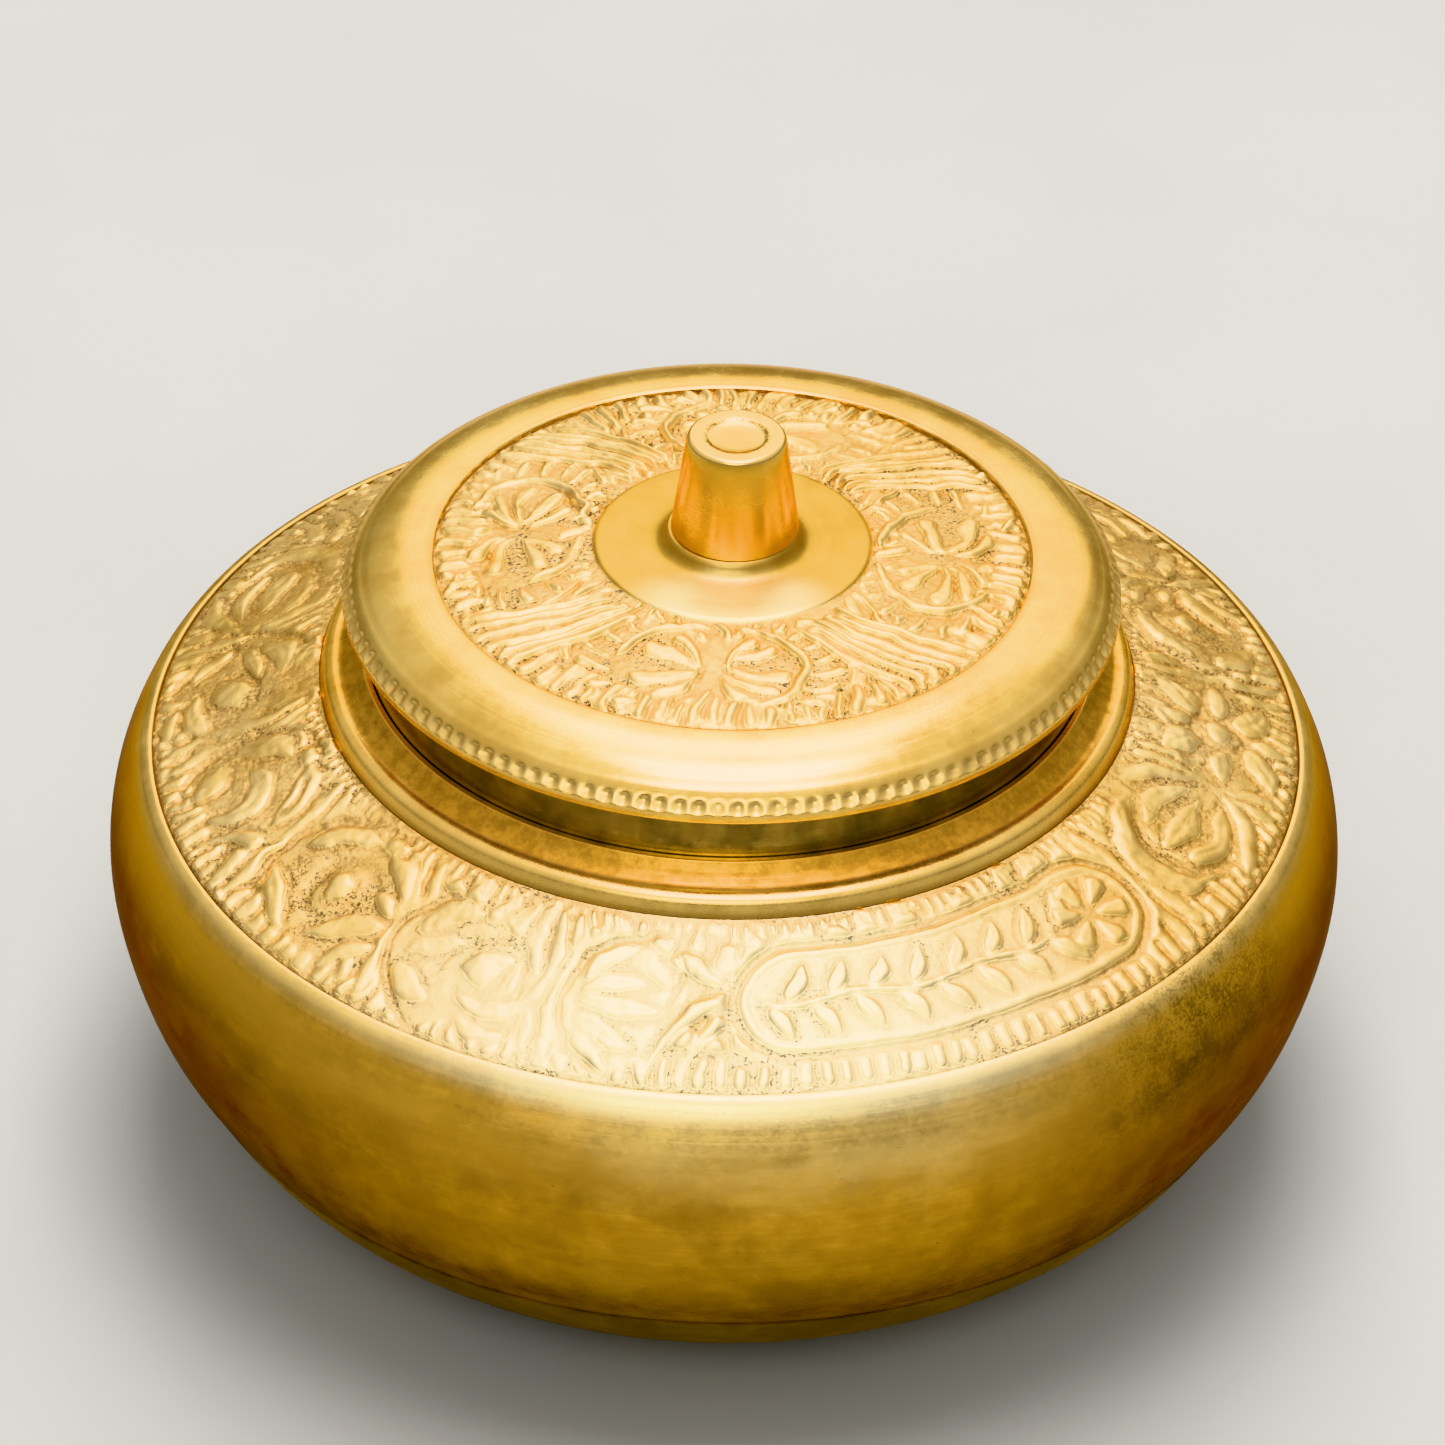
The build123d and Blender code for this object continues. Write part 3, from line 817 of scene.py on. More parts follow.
# colours of old brass, linear
BROWN = (0.24, 0.11, 0.02)
INK = (0.045, 0.032, 0.024)


def coat(bs, weight, rough):
    bs.inputs["Coat Weight"].default_value = weight
    bs.inputs["Coat Roughness"].default_value = rough


def mat_relief(name, seed, ink, sandy, grime_and_shade, near, far):
    m, nt, bs, g, col, rv, nrm = brass(name, (0.97, 0.715, 0.31), (0.94, 0.655, 0.235), (0.86, 0.56, 0.165),
                                       rough=(0.30, 0.41), grain=0.010, specks=0.0)
    cav = g.attr("cavity")
    # brown in the hollows set by the cavity attribute: grime, plus painted shade that grows towards both flanks (wide,
    # |x| from near to far)
    drift = g.ramp(g.noise(0.07, 3, 0.5, g.shift((seed, 12, 3))), 0.40, 0.62)
    speck = g.ramp(g.noise(2.6, 4, 0.7, g.shift((seed, 2, 3))), 0.30, 0.62, 0.35, 1.0)
    wide = g.ramp(g.math("ADD", g.math("ABSOLUTE", g.x), g.math("MULTIPLY", drift, 8.0)), near, far)
    edge0 = g.math("SUBTRACT", 0.14, g.math("MULTIPLY", wide, 0.34))
    soft = g.math("MULTIPLY", g.math("MULTIPLY", g.ramp(g.math("SUBTRACT", cav, edge0), 0.0, 0.75), speck), g.math("ADD", 0.70, g.math("MULTIPLY", wide, 0.30)))
    col = g.mix(g.math("MULTIPLY", soft, grime_and_shade), col, (0.33, 0.175, 0.045))
    # a painted highlight: the part nearest the front is mixed to a pale cream
    front_highlight = g.math("ADD", g.y, g.math("MULTIPLY", g.noise(0.10, 3, 0.6, g.shift((9, seed, 1))), 9.0))
    front_highlight = g.math("MULTIPLY", g.ramp(front_highlight, -33.0, -20.0, 1.0, 0.0), g.ramp(g.math("ABSOLUTE", g.x), 10.0, 36.0, 1.0, 0.0))
    col = g.mix(g.math("MULTIPLY", front_highlight, 0.66), col, (1.0, 0.89, 0.58))
    # black polish residue caught along edges, in patches
    patch = g.ramp(g.noise(0.13, 3, 0.55, g.shift((seed * 3, 7, 5))), 0.44, 0.58)
    bits = g.ramp(g.noise(3.6, 3, 0.75, g.shift((seed, 17, 5))), 0.52, 0.58)
    hold = g.ramp(g.math("ADD", cav, g.math("MULTIPLY", g.noise(1.3, 3, 0.6, g.shift((1, 4, seed))), 0.9)), 0.52, 0.80)
    black = g.math("MULTIPLY", g.math("MULTIPLY", patch, bits), hold)
    col = g.mix(g.math("MULTIPLY", black, ink), col, INK)
    rv = g.math("ADD", rv, g.math("MULTIPLY", soft, 0.14))
    rv = g.math("ADD", rv, g.math("MULTIPLY", black, 0.25))
    sand = g.math("MULTIPLY", g.noise(2.9, 5, 0.75, g.shift((2, seed, 6))), g.ramp(cav, -0.1, 0.6, 0.30, 1.0))
    nrm = g.bump(sand, sandy, normal=nrm)
    coat(bs, 0.35, 0.30)
    return finish_brass(m, nt, bs, col, rv, nrm)


def mat_side():
    m, nt, bs, g, col, rv, nrm = brass("brass_side", (0.76, 0.440, 0.074), (0.60, 0.325, 0.042), (0.44, 0.230, 0.028),
                                       rough=(0.28, 0.44), grain=0.014, turned=0.006, turned_f=3.0,
                                       patina=(0.25, 0.135, 0.026), patina_amt=0.55, specks=0.8, scratches=0.5)
    # paler near the rim and palest near the middle of x: polish that survives under the rim, with painted light on the
    # upper wall
    top = g.ramp(g.math("ADD", g.z, g.math("MULTIPLY", g.noise(0.3, 4, 0.6), 3.0)), 28.5, 36.5)
    centre = g.ramp(g.math("ADD", g.math("ABSOLUTE", g.math("SUBTRACT", g.x, 6.0)), g.math("MULTIPLY", g.noise(0.15, 3, 0.6, g.shift((6, 6, 1))), 10.0)), 14.0, 32.0, 1.0, 0.0)
    polish = g.mix(centre, (0.93, 0.545, 0.105), (1.0, 0.70, 0.25))
    col = g.mix(g.math("MULTIPLY", top, 0.92), col, polish)
    # a painted highlight along the rounded top of the rim
    col = g.mix(g.math("MULTIPLY", g.ramp(g.z, 35.2, 36.6), 0.85), col, (0.98, 0.70, 0.27))
    # a painted highlight on the front of the rim
    rim_front_highlight = g.math("MULTIPLY", g.ramp(g.z, 34.6, 36.4), g.ramp(g.math("ABSOLUTE", g.math("SUBTRACT", g.x, 2.0)), 12.0, 34.0, 1.0, 0.0))
    rim_front_highlight = g.math("MULTIPLY", rim_front_highlight, g.ramp(g.y, -36.0, -24.0, 1.0, 0.0))
    col = g.mix(g.math("MULTIPLY", rim_front_highlight, 0.60), col, (1.0, 0.89, 0.58))
    # browner towards the seam: tarnish, with painted shade on the lower wall
    low = g.ramp(g.math("ADD", g.z, g.math("MULTIPLY", g.noise(0.2, 4, 0.6), 6.0)), 15.0, 27.0, 1.0, 0.0)
    col = g.mix(g.math("MULTIPLY", low, 0.50), col, (0.32, 0.175, 0.030))
    # both flanks are browner than the front: tarnish, with painted shade towards the left and right
    flank_tarnish_and_shade = g.ramp(g.math("ADD", g.math("ABSOLUTE", g.x), g.math("MULTIPLY", g.noise(0.12, 4, 0.6, g.shift((4, 4, 4))), 10.0)), 22.0, 46.0)
    flank_tarnish_and_shade = g.math("MULTIPLY", flank_tarnish_and_shade, g.ramp(g.z, 29.0, 37.5, 1.0, 0.15))
    col = g.mix(g.math("MULTIPLY", flank_tarnish_and_shade, 0.86), col, (0.160, 0.075, 0.018))
    # a stained, pitted patch under the rim at the right of the front
    cx, cy = 50.0 * math.cos(math.radians(-40)), 50.0 * math.sin(math.radians(-40))
    d = g.vec("LENGTH", g.vec("SUBTRACT", g.vec("MULTIPLY", g.pos, (1, 1, 1.5)), (cx, cy, 31.5 * 1.5)))
    d = g.math("ADD", d, g.math("MULTIPLY", g.noise(0.25, 4, 0.6), 9.0))
    blot = g.ramp(d, 7.0, 22.0, 1.0, 0.0)
    grit = g.ramp(g.math("ADD", g.math("MULTIPLY", g.noise(3.4, 4, 0.75, g.shift((1, 1, 8))), 0.6), g.math("MULTIPLY", g.noise(0.55, 3, 0.6, g.shift((7, 1, 8))), 0.4)), 0.42, 0.60)
    stain = g.math("MULTIPLY", blot, grit)
    col = g.mix(g.math("MULTIPLY", stain, 0.86), col, (0.135, 0.072, 0.014))
    rv = g.math("ADD", rv, g.math("MULTIPLY", stain, 0.10))
    nrm = g.bump(g.math("MULTIPLY", stain, -1.0), 0.025, normal=nrm)
    # bright worn flecks where the brown has rubbed through
    rub = g.ramp(g.noise(1.0, 5, 0.68, g.combine(g.math("MULTIPLY", g.a, 9.0), g.math("MULTIPLY", g.z, 0.34), 3.0)), 0.52, 0.66)
    rub = g.math("MULTIPLY", rub, g.ramp(g.noise(0.10, 3, 0.5, g.shift((31, 2, 7))), 0.40, 0.60))
    col = g.mix(g.math("MULTIPLY", rub, 0.20), col, (0.76, 0.42, 0.065))
    # long soft drifts of redder brown
    mott = g.ramp(g.noise(1.0, 4, 0.60, g.combine(g.math("MULTIPLY", g.a, 5.0), g.math("MULTIPLY", g.z, 0.24), 9.0)), 0.42, 0.62)
    mott = g.math("MULTIPLY", mott, g.ramp(g.z, 31.0, 36.0, 1.0, 0.0))
    col = g.mix(g.math("MULTIPLY", mott, 0.36), col, (0.40, 0.195, 0.022))
    # the rebate that the embossed plate lies in
    reb = g.math("MULTIPLY", g.ramp(g.math("ABSOLUTE", g.math("SUBTRACT", g.r, rebate_r)), 0.04, 0.16, 1.0, 0.0), g.ramp(g.z, 35.0, 35.5))
    col = g.mix(g.math("MULTIPLY", reb, 0.75), col, (0.20, 0.115, 0.035))
    finish_brass(m, nt, bs, col, rv, nrm)
    bs.inputs["Specular Tint"].default_value = (0.42, 0.25, 0.08, 1.0)
    return m


def mat_dish():
    # dark colours for the whole dish: tarnish, with painted shade of the underside that faces the floor
    m, nt, bs, g, col, rv, nrm = brass("brass_dish", (0.34, 0.20, 0.045), (0.23, 0.13, 0.032), (0.14, 0.080, 0.022),
                                       rough=(0.34, 0.50), grain=0.016, turned=0.006, turned_f=3.0,
                                       patina=(0.085, 0.048, 0.010), patina_amt=0.6, specks=0.7, scratches=0.35)
    # the foot is worn bright where it stands, and the corner of the recess is darker
    stand = g.math("MULTIPLY", g.ramp(g.z, 0.25, 0.60, 1.0, 0.0), g.ramp(g.r, recess_r + 0.6, recess_r + 1.2))
    col = g.mix(g.math("MULTIPLY", stand, 0.70), col, (0.70, 0.430, 0.110))
    corner = g.math("MULTIPLY", g.ramp(g.math("ABSOLUTE", g.math("SUBTRACT", g.r, recess_r + 0.1)), 0.3, 1.5, 1.0, 0.0), g.ramp(g.z, 0.9, 1.2, 1.0, 0.0))
    col = g.mix(g.math("MULTIPLY", corner, 0.80), col, (0.050, 0.028, 0.008))
    return finish_brass(m, nt, bs, col, rv, nrm)


def mat_collar():
    m, nt, bs, g, col, rv, nrm = brass("brass_collar", (0.97, 0.640, 0.195), (0.90, 0.545, 0.135), (0.74, 0.410, 0.078),
                                       rough=(0.22, 0.34), grain=0.006, turned=0.006, turned_f=7.0, specks=0.4)
    # tarnish and dust on the cone above the bead; the bead below is paler, with a painted highlight on its front
    cone = g.ramp(g.math("ADD", g.r, g.math("MULTIPLY", g.noise(0.5, 4, 0.6), 0.8)), 31.7, 32.5, 1.0, 0.0)
    cone = g.math("MULTIPLY", cone, g.ramp(g.r, 29.75, 29.95))
    dirt = g.math("MULTIPLY", cone, g.ramp(g.noise(0.8, 5, 0.75, g.shift((3, 3, 3))), 0.38, 0.62))
    col = g.mix(g.math("MULTIPLY", cone, 0.80), col, (0.62, 0.315, 0.050))
    col = g.mix(g.math("MULTIPLY", dirt, 0.55), col, (0.27, 0.125, 0.022))
    # painted shade in the groove where the collar meets the shoulder plate
    groove = g.ramp(g.r, 32.95, 33.18)
    # painted highlight on the front of the bead
    bead = g.math("MULTIPLY", g.ramp(g.r, 31.35, 31.75), g.ramp(g.y, -27.0, -12.0, 1.0, 0.0))
    col = g.mix(g.math("MULTIPLY", bead, 0.60), col, (1.0, 0.70, 0.25))
    col = g.mix(g.math("MULTIPLY", groove, 0.60), col, (0.20, 0.100, 0.015))
    rv = g.math("ADD", rv, g.math("MULTIPLY", cone, 0.10))
    return finish_brass(m, nt, bs, col, rv, nrm)


def mat_plain(name, pale, mid, deep, rough, turned=0.004, turned_f=8.0, **k):
    m, nt, bs, g, col, rv, nrm = brass(name, pale, mid, deep, rough=rough, turned=turned, turned_f=turned_f, **k)
    return finish_brass(m, nt, bs, col, rv, nrm)


def mat_disc():
    m, nt, bs, g, col, rv, nrm = brass("brass_lid_disc", (0.57, 0.360, 0.090), (0.51, 0.312, 0.070), (0.41, 0.242, 0.051),
                                       rough=(0.42, 0.52), grain=0.006, turned=0.004, turned_f=7.0, specks=0.4)
    # a painted highlight on the side of the disc nearest the front
    near = g.ramp(g.math("ADD", g.y, g.math("MULTIPLY", g.noise(0.35, 3, 0.6), 2.0)), -7.0, -3.5, 1.0, 0.0)
    near = g.math("MULTIPLY", near, g.ramp(g.math("ABSOLUTE", g.x), 3.5, 9.0, 1.0, 0.0))
    col = g.mix(g.math("MULTIPLY", near, 0.85), col, (1.0, 0.86, 0.50))
    return finish_brass(m, nt, bs, col, rv, nrm)


def mat_lid_ring():
    m, nt, bs, g, col, rv, nrm = brass("brass_lid_ring", (0.97, 0.685, 0.215), (0.94, 0.62, 0.170), (0.84, 0.51, 0.12),
                                       rough=(0.17, 0.27), grain=0.004, turned=0.002, turned_f=6.0, specks=0.35)
    # tarnish towards the milled edge and in drifts
    edge = g.ramp(g.r, 28.8, 31.3)
    drift = g.ramp(g.noise(0.14, 5, 0.6, g.shift((8, 14, 2))), 0.42, 0.64)
    col = g.mix(g.math("MULTIPLY", g.math("MULTIPLY", edge, drift), 0.26), col, (0.48, 0.25, 0.04))
    # painted shade along the step where the ring meets the relief plate
    lip = g.ramp(g.math("ABSOLUTE", g.math("SUBTRACT", g.r, 24.15)), 0.10, 0.75, 1.0, 0.0)
    col = g.mix(g.math("MULTIPLY", lip, 0.35), col, (0.40, 0.19, 0.03))
    # painted shade on the inner wall of that step
    wall = g.math("MULTIPLY", g.ramp(g.r, lip_r + 0.05, lip_r + 0.13, 1.0, 0.0), g.ramp(g.z, lip_z - 0.18, lip_z - 0.08, 1.0, 0.0))
    col = g.mix(g.math("MULTIPLY", wall, 0.85), col, (0.20, 0.115, 0.035))
    # painted shade under the ring's outer edge
    under = g.math("MULTIPLY", g.ramp(g.z, 50.84, 51.02, 1.0, 0.0), g.ramp(g.r, 31.0, 31.2))
    col = g.mix(g.math("MULTIPLY", under, 0.80), col, (0.22, 0.130, 0.040))
    # the cut faces of the milling are matt, and their pale colour is partly a painted highlight
    milled_matt_and_highlight = g.math("MULTIPLY", g.math("MULTIPLY", g.ramp(g.z, 51.66, 51.80), g.ramp(g.z, 52.40, 52.58, 1.0, 0.0)), g.ramp(g.r, 29.8, 30.3))
    col = g.mix(g.math("MULTIPLY", milled_matt_and_highlight, 0.60), col, (0.99, 0.70, 0.26))
    rv = g.math("ADD", rv, g.math("MULTIPLY", milled_matt_and_highlight, 0.10))
    # dirt held in the milled notches
    held = g.math("MULTIPLY", g.math("MULTIPLY", g.ramp(g.z, 51.6, 51.9), g.ramp(g.z, 52.9, 53.2, 1.0, 0.0)), g.ramp(g.math("ADD", g.r, g.math("MULTIPLY", g.z, 0.55)), 59.60, 59.86, 1.0, 0.0))
    col = g.mix(g.math("MULTIPLY", held, 0.22), col, (0.46, 0.25, 0.06))
    coat(bs, 0.35, 0.28)
    return finish_brass(m, nt, bs, col, rv, nrm)


def mat_knob():
    m, nt, bs, g, col, rv, nrm = brass("brass_knob", (0.98, 0.625, 0.150), (0.92, 0.560, 0.110), (0.80, 0.450, 0.070),
                                       rough=(0.18, 0.28), grain=0.007, turned=0.004, turned_f=9.0, specks=0.5)
    top = g.ramp(g.z, 65.25, 65.7)
    col = g.mix(g.math("MULTIPLY", top, 0.75), col, (0.95, 0.67, 0.27))
    ring = g.ramp(g.math("ABSOLUTE", g.math("SUBTRACT", g.r, 2.45)), 0.05, 0.35, 1.0, 0.0)
    dirt = g.math("MULTIPLY", g.math("MULTIPLY", top, ring), g.ramp(g.noise(2.4, 3, 0.6), 0.42, 0.58))
    col = g.mix(g.math("MULTIPLY", dirt, 0.70), col, (0.26, 0.12, 0.02))
    return finish_brass(m, nt, bs, col, rv, nrm)


# ------------------------------------------------------------------ pieces
def out_of_round(amp, seed):
    """A hand-turned bowl is never quite round."""
    rng = np.random.default_rng(seed)
    k = [(2, 1.0), (3, 0.5), (5, 0.25), (7, 0.15)]
    ph = rng.uniform(0, 2 * math.pi, len(k))

    def f(a, z):
        s = np.zeros_like(a)
        for (n, w), p in zip(k, ph):
            s = s + w * np.sin(n * a + p + z * 0.05)
        return s * amp
    return f


def put(ob, body, node, mat):
    ob.data.materials.clear()
    ob.data.materials.append(mat)
    if body == "lid":  # the lid is a loose fit and sits a little to one side
        ob.location.x = (0.40 if node == "knob" else 0.22) * MM
        bpy.context.view_layer.update()
    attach(ob, body)
    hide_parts(node)
    return ob


# lower dish
dish = (
    [(0, recess_h)] + densify([(0.5, recess_h), (recess_r - 0.3, recess_h)], 3.0)
    + rounded([(recess_r - 0.3, recess_h), (recess_r + 0.1, recess_h, 0.3), (recess_r + 0.9, 0.0, 0.3), (foot_r - 0.6, 0.0)])[1:]
    + spline([(foot_r, 0.0), (35.98, 2.3), (40.45, 5.8), (44.43, 9.8), (seam_r - 0.12, seam_z - 0.26)], 12, (1.0, 0.06), (0.52, 1.0))
    + [(seam_r - 0.42, seam_z - 0.12), (seam_r - 0.42, seam_z), (lap_r, seam_z), (lap_r, seam_z + lap_h - 0.15),
       (lap_r - 0.15, seam_z + lap_h), (lap_r - lap_t + 0.15, seam_z + lap_h), (lap_r - lap_t, seam_z + lap_h - 0.2)]
    + spline([(43.85, seam_z - 2.6), (42.3, 9.9), (38.9, 6.6), (34.9, 3.75), (29.0, floor_z)], 8, (-0.40, -0.8), (-1.0, 0.0))
    + densify([(29.0, floor_z), (0.5, floor_z)], 4.0)[1:] + [(0, floor_z)])
put(lathe("dish_shell", dish, 384, out_of_round(0.02, 3)), "box", "base_dish", mat_dish())

# side wall with the thin smooth rim
side = (
    [(seam_r - 0.40, seam_z), (seam_r - 0.02, seam_z + 0.10), (seam_r + 0.14, seam_z + 0.34)]
    + spline([(seam_r + 0.30, seam_z + 0.70), (48.05, 16.0), (50.09, 21.8), (belly_r, belly_z), (49.88, 32.8), (49.02, 34.85)],
             14, (0.50, 1.0), (-0.46, 1.0))
    + spline([(49.02, 34.85), (48.42, 35.98), (47.86, 36.72), (47.28, 37.06)], 6, (-0.46, 1.0), (-1.0, 0.32))[1:]
    + [(rebate_r + 0.12, plate_edge_z + 0.10), (rebate_r + 0.03, plate_edge_z + 0.02), (rebate_r + 0.02, plate_edge_z - 0.20),
       (rebate_r + 0.02, ledge_low), (45.85, ledge_low)]
    + spline([(45.75, ledge_low - 0.1), (48.05, 32.0), (belly_r - wall, belly_z), (48.4, 21.8), (46.35, 16.3), (lap_r + 0.03, seam_z + 2.7)],
             10, (0.75, -1.0), (-0.55, -1.0))
    + [(lap_r + 0.03, seam_z)])
put(lathe("side_shell", side, 384, out_of_round(0.03, 8)), "box", "side_wall", mat_side())

# embossed shoulder plate
SH = worn(shoulder_relief(), 0.100, 0.16, 0.030, 0.024, 1.22)
COLS = 1400
b = Build()
th = np.arange(COLS) * 2 * math.pi / COLS
xs = (th + math.pi / 2) * SR_MEAN  # x = 0 at the front
ROWS = 70
nr, nz = math.sin(math.atan2(groove_z - plate_edge_z, rebate_r - groove_r)), math.cos(math.atan2(groove_z - plate_edge_z, rebate_r - groove_r))
prev = None
first = last = None
for k in range(ROWS + 1):
    t = k / ROWS  # 0 at the collar, 1 at the rim
    y = t * SH_T
    h = SH.sample(SH.final, xs, np.full(COLS, y))
    cv = SH.sample(SH.cav, xs, np.full(COLS, y))
    fade = min(1.0, k / 2.0, (ROWS - k) / 2.0)
    h = h * fade - 0.06 * (1 - fade)
    r = groove_r + (rebate_r - 0.02 - groove_r) * t + h * nr
    z = groove_z + (plate_edge_z - groove_z) * t + h * nz
    if k in (0, ROWS):
        r = np.full(COLS, groove_r if k == 0 else rebate_r - 0.02)
    ring = b.ring(np.stack([r * np.cos(th), r * np.sin(th), z], 1), cv + 0.25 * (1 - fade))
    if prev is not None:
        b.join(prev, ring)
    prev = ring
    first = first or ring
last = prev
N4 = COLS // 4
r1 = b.circle(rebate_r - 0.02, plate_edge_z - 0.5, N4)
b.join(last, r1)
seq = [r1, b.circle(rebate_r - 0.02, ledge_low, N4), b.circle(45.8, ledge_low, N4),
       b.circle(groove_r + 0.2, flange_z - plate_t, N4), b.circle(flange_in_r, flange_z - plate_t, N4),
       b.circle(flange_in_r, flange_z, N4), b.circle(groove_r - 0.05, flange_z, N4)]
for p, q in zip(seq[:-1], seq[1:]):
    b.join(p, q)
b.join(seq[-1], first)
put(b.mesh("shoulder_relief", 75, cav=True), "box", "shoulder_plate", mat_relief("brass_shoulder", 3.0, 0.70, 0.11, 0.78, 14.0, 38.0))

# collar: bead, cone with a fine turned line, crisp ledge
collar = rounded([
    (neck_r + 0.03, flange_z), (33.08, flange_z), (33.20, flange_z + 0.30, 0.25), (33.04, flange_z + 0.80, 0.6), (32.78, 44.40, 0.9), (32.10, 44.70, 1.1),
    (31.45, 44.74, 1.8), (30.50, 45.40, 1.6),
    (29.80, 46.10, 0.16), (neck_r + 0.10, 46.12, 0.05), (neck_r + 0.03, 46.0), (neck_r + 0.03, flange_z)], 6)[:-1]
put(lathe("collar_turned", collar, 384, None, 50), "box", "collar_ring", mat_collar())

# neck sleeve; its very dark colours are a painted dark reflection, with some tarnish
neck = rounded([
    (neck_r - 1.2, flange_z - 1.35), (30.35, flange_z - 1.35, 0.2), (30.35, flange_z, 0.1), (neck_r, flange_z, 0.05),
    (neck_r, 50.8, 0.28), (neck_r - 1.2, 50.8, 0.40), (neck_r - 1.2, flange_z - 1.35)], 5)[:-1]
put(lathe("neck_turned", densify(neck, 1.5), 384, None, 40), "box", "neck_sleeve",
    mat_plain("brass_neck", (0.33, 0.245, 0.105), (0.185, 0.145, 0.070), (0.080, 0.072, 0.040), (0.07, 0.15), 0.0015, 5.0, specks=0.3))

# lid ring with the milled edge
TEETH = 132
PER = 10
LN = TEETH * PER
rng = np.random.default_rng(21)
ta = np.arange(LN) * 2 * math.pi / LN
phase = (np.arange(LN) % PER) / PER
tid = np.arange(LN) // PER
depth_t = 0.36 * (1 + rng.normal(0, 0.22, TEETH))
wear_t = np.clip(0.5 + 0.9 * np.exp(-(((np.degrees(np.arange(TEETH) * 2 * math.pi / TEETH) - 318) / 24) ** 2)) + rng.normal(0, 0.18, TEETH), 0.1, 1.3)
skew_t = rng.normal(0, 0.06, TEETH)
q_edge = phase - 0.5 - skew_t[tid]
d_edge = np.where(q_edge < 0, -q_edge / 0.55, q_edge / 0.42)  # 0 on a notch's middle, 1 on a tooth's crest
amp = 0.27 * (1 + rng.normal(0, 0.18, TEETH))[tid] * (1.10 - 0.25 * wear_t[tid])
top_nick = rng.uniform(0.4, 1.0, TEETH)[tid]
crest = 0.05 + 0.10 * wear_t[tid] * rng.uniform(0.2, 1.0, TEETH)[tid]


def edge_ring(bl, r, z, k, kz=0.0, wide=0.9):
    """One ring of the milled edge: k is the notches' depth here and wide is how much of the pitch they take."""
    v = np.clip(1 - d_edge / wide, 0, 1)
    bead = np.clip((d_edge - 0.35) / 0.65, 0, 1)
    rr = r - amp * v * k - crest * k * (1 - bead) * 0.5
    zz = z - amp * v * kz * top_nick
    return bl.ring(np.stack([rr * np.cos(ta), rr * np.sin(ta), zz], 1))


b = Build()
low = b.circle(skirt_r + 0.03, lid_seat_z, LN // 4)
low2 = b.circle(lid_r - 0.40, lid_seat_z, LN // 4)
rings = [low, low2]
edge = [(lid_r - 0.20, lid_seat_z + 0.03, 0.0, 0.0, 0.9), (lid_r - 0.07, lid_seat_z + 0.10, 0.0, 0.0, 0.9), (lid_r, lid_seat_z + 0.24, 0.0, 0.0, 0.9),
        (lid_r - 0.01, 51.50, 0.0, 0.0, 0.9), (lid_r - 0.03, 51.68, 0.0, 0.0, 0.50), (lid_r - 0.07, 51.78, 0.50, 0.0, 0.75), (lid_r - 0.15, 51.90, 0.90, 0.0, 0.95),
        (lid_r - 0.25, 52.03, 1.0, 0.05, 1.0), (lid_r - 0.36, 52.16, 1.0, 0.15, 1.0), (lid_r - 0.48, 52.29, 0.80, 0.28, 1.0), (lid_r - 0.60, 52.42, 0.45, 0.30, 0.95),
        (lid_r - 0.73, 52.55, 0.15, 0.15, 0.9), (lid_r - 0.86, 52.67, 0.0, 0.0, 0.8), (lid_r - 1.00, 52.80, 0.0, 0.0, 0.8),
        (lid_r - 1.18, 52.95, 0.0, 0.0, 0.6)]
for r, z, k, kz, wd in edge:
    rings.append(edge_ring(b, r, z, k, kz, wd))
for r, z in spline([(lid_r - 1.38, 53.11), (29.2, 53.62), (26.8, 54.40), (lip_r + 0.45, lip_z - 0.01)], 7, (-1.0, 0.40), (-1.0, 0.02)):
    rings.append(b.circle(r, z, LN // 2 if r < 30.2 else LN))
for r, z in [(lip_r + 0.22, lip_z - 0.03), (lip_r + 0.07, lip_z - 0.12), (lip_r, lip_z - 0.28), (lip_r, plate_top_z)]:
    rings.append(b.circle(r, z, LN // 2))
for r, z in [(plate_r + 0.03, plate_top_z), (plate_r + 0.03, under_z), (skirt_r + 0.03, under_z)]:
    rings.append(b.circle(r, z, LN // 4))
for p, q in zip(rings[:-1], rings[1:]):
    b.join(p, q)
b.join(rings[-1], rings[0])
put(b.mesh("lid_ring_milled", 34), "lid", "lid_ring", mat_lid_ring())

# embossed lid plate with its plain middle
LD = worn(lid_relief(), 0.100, 0.15, 0.022, 0.020, 1.35)
LC = 1280
b = Build()
tl = np.arange(LC) * 2 * math.pi / LC
xl = (tl + math.pi / 2) * LD_MEAN
LROWS = 66
z_in, z_out = disc_z - 0.30, plate_top_z + 0.03
first = prev = None
for k in range(LROWS + 1):
    t = k / LROWS
    y = t * LD_T
    h = LD.sample(LD.final, xl, np.full(LC, y))
    cv = LD.sample(LD.cav, xl, np.full(LC, y))
    fade = min(1.0, k / 1.5, (LROWS - k) / 1.5)
    h = h * fade - 0.03 * (1 - fade)
    r = disc_r + (lip_r - 0.03 - disc_r) * t
    z = z_in + (z_out - z_in) * (t ** 1.35) + h
    ring = b.ring(np.stack([r * np.cos(tl), r * np.sin(tl), z], 1), cv + 0.35 * (1 - fade))
    if prev is not None:
        b.join(prev, ring)
    prev = ring
    first = first or ring
outer = prev
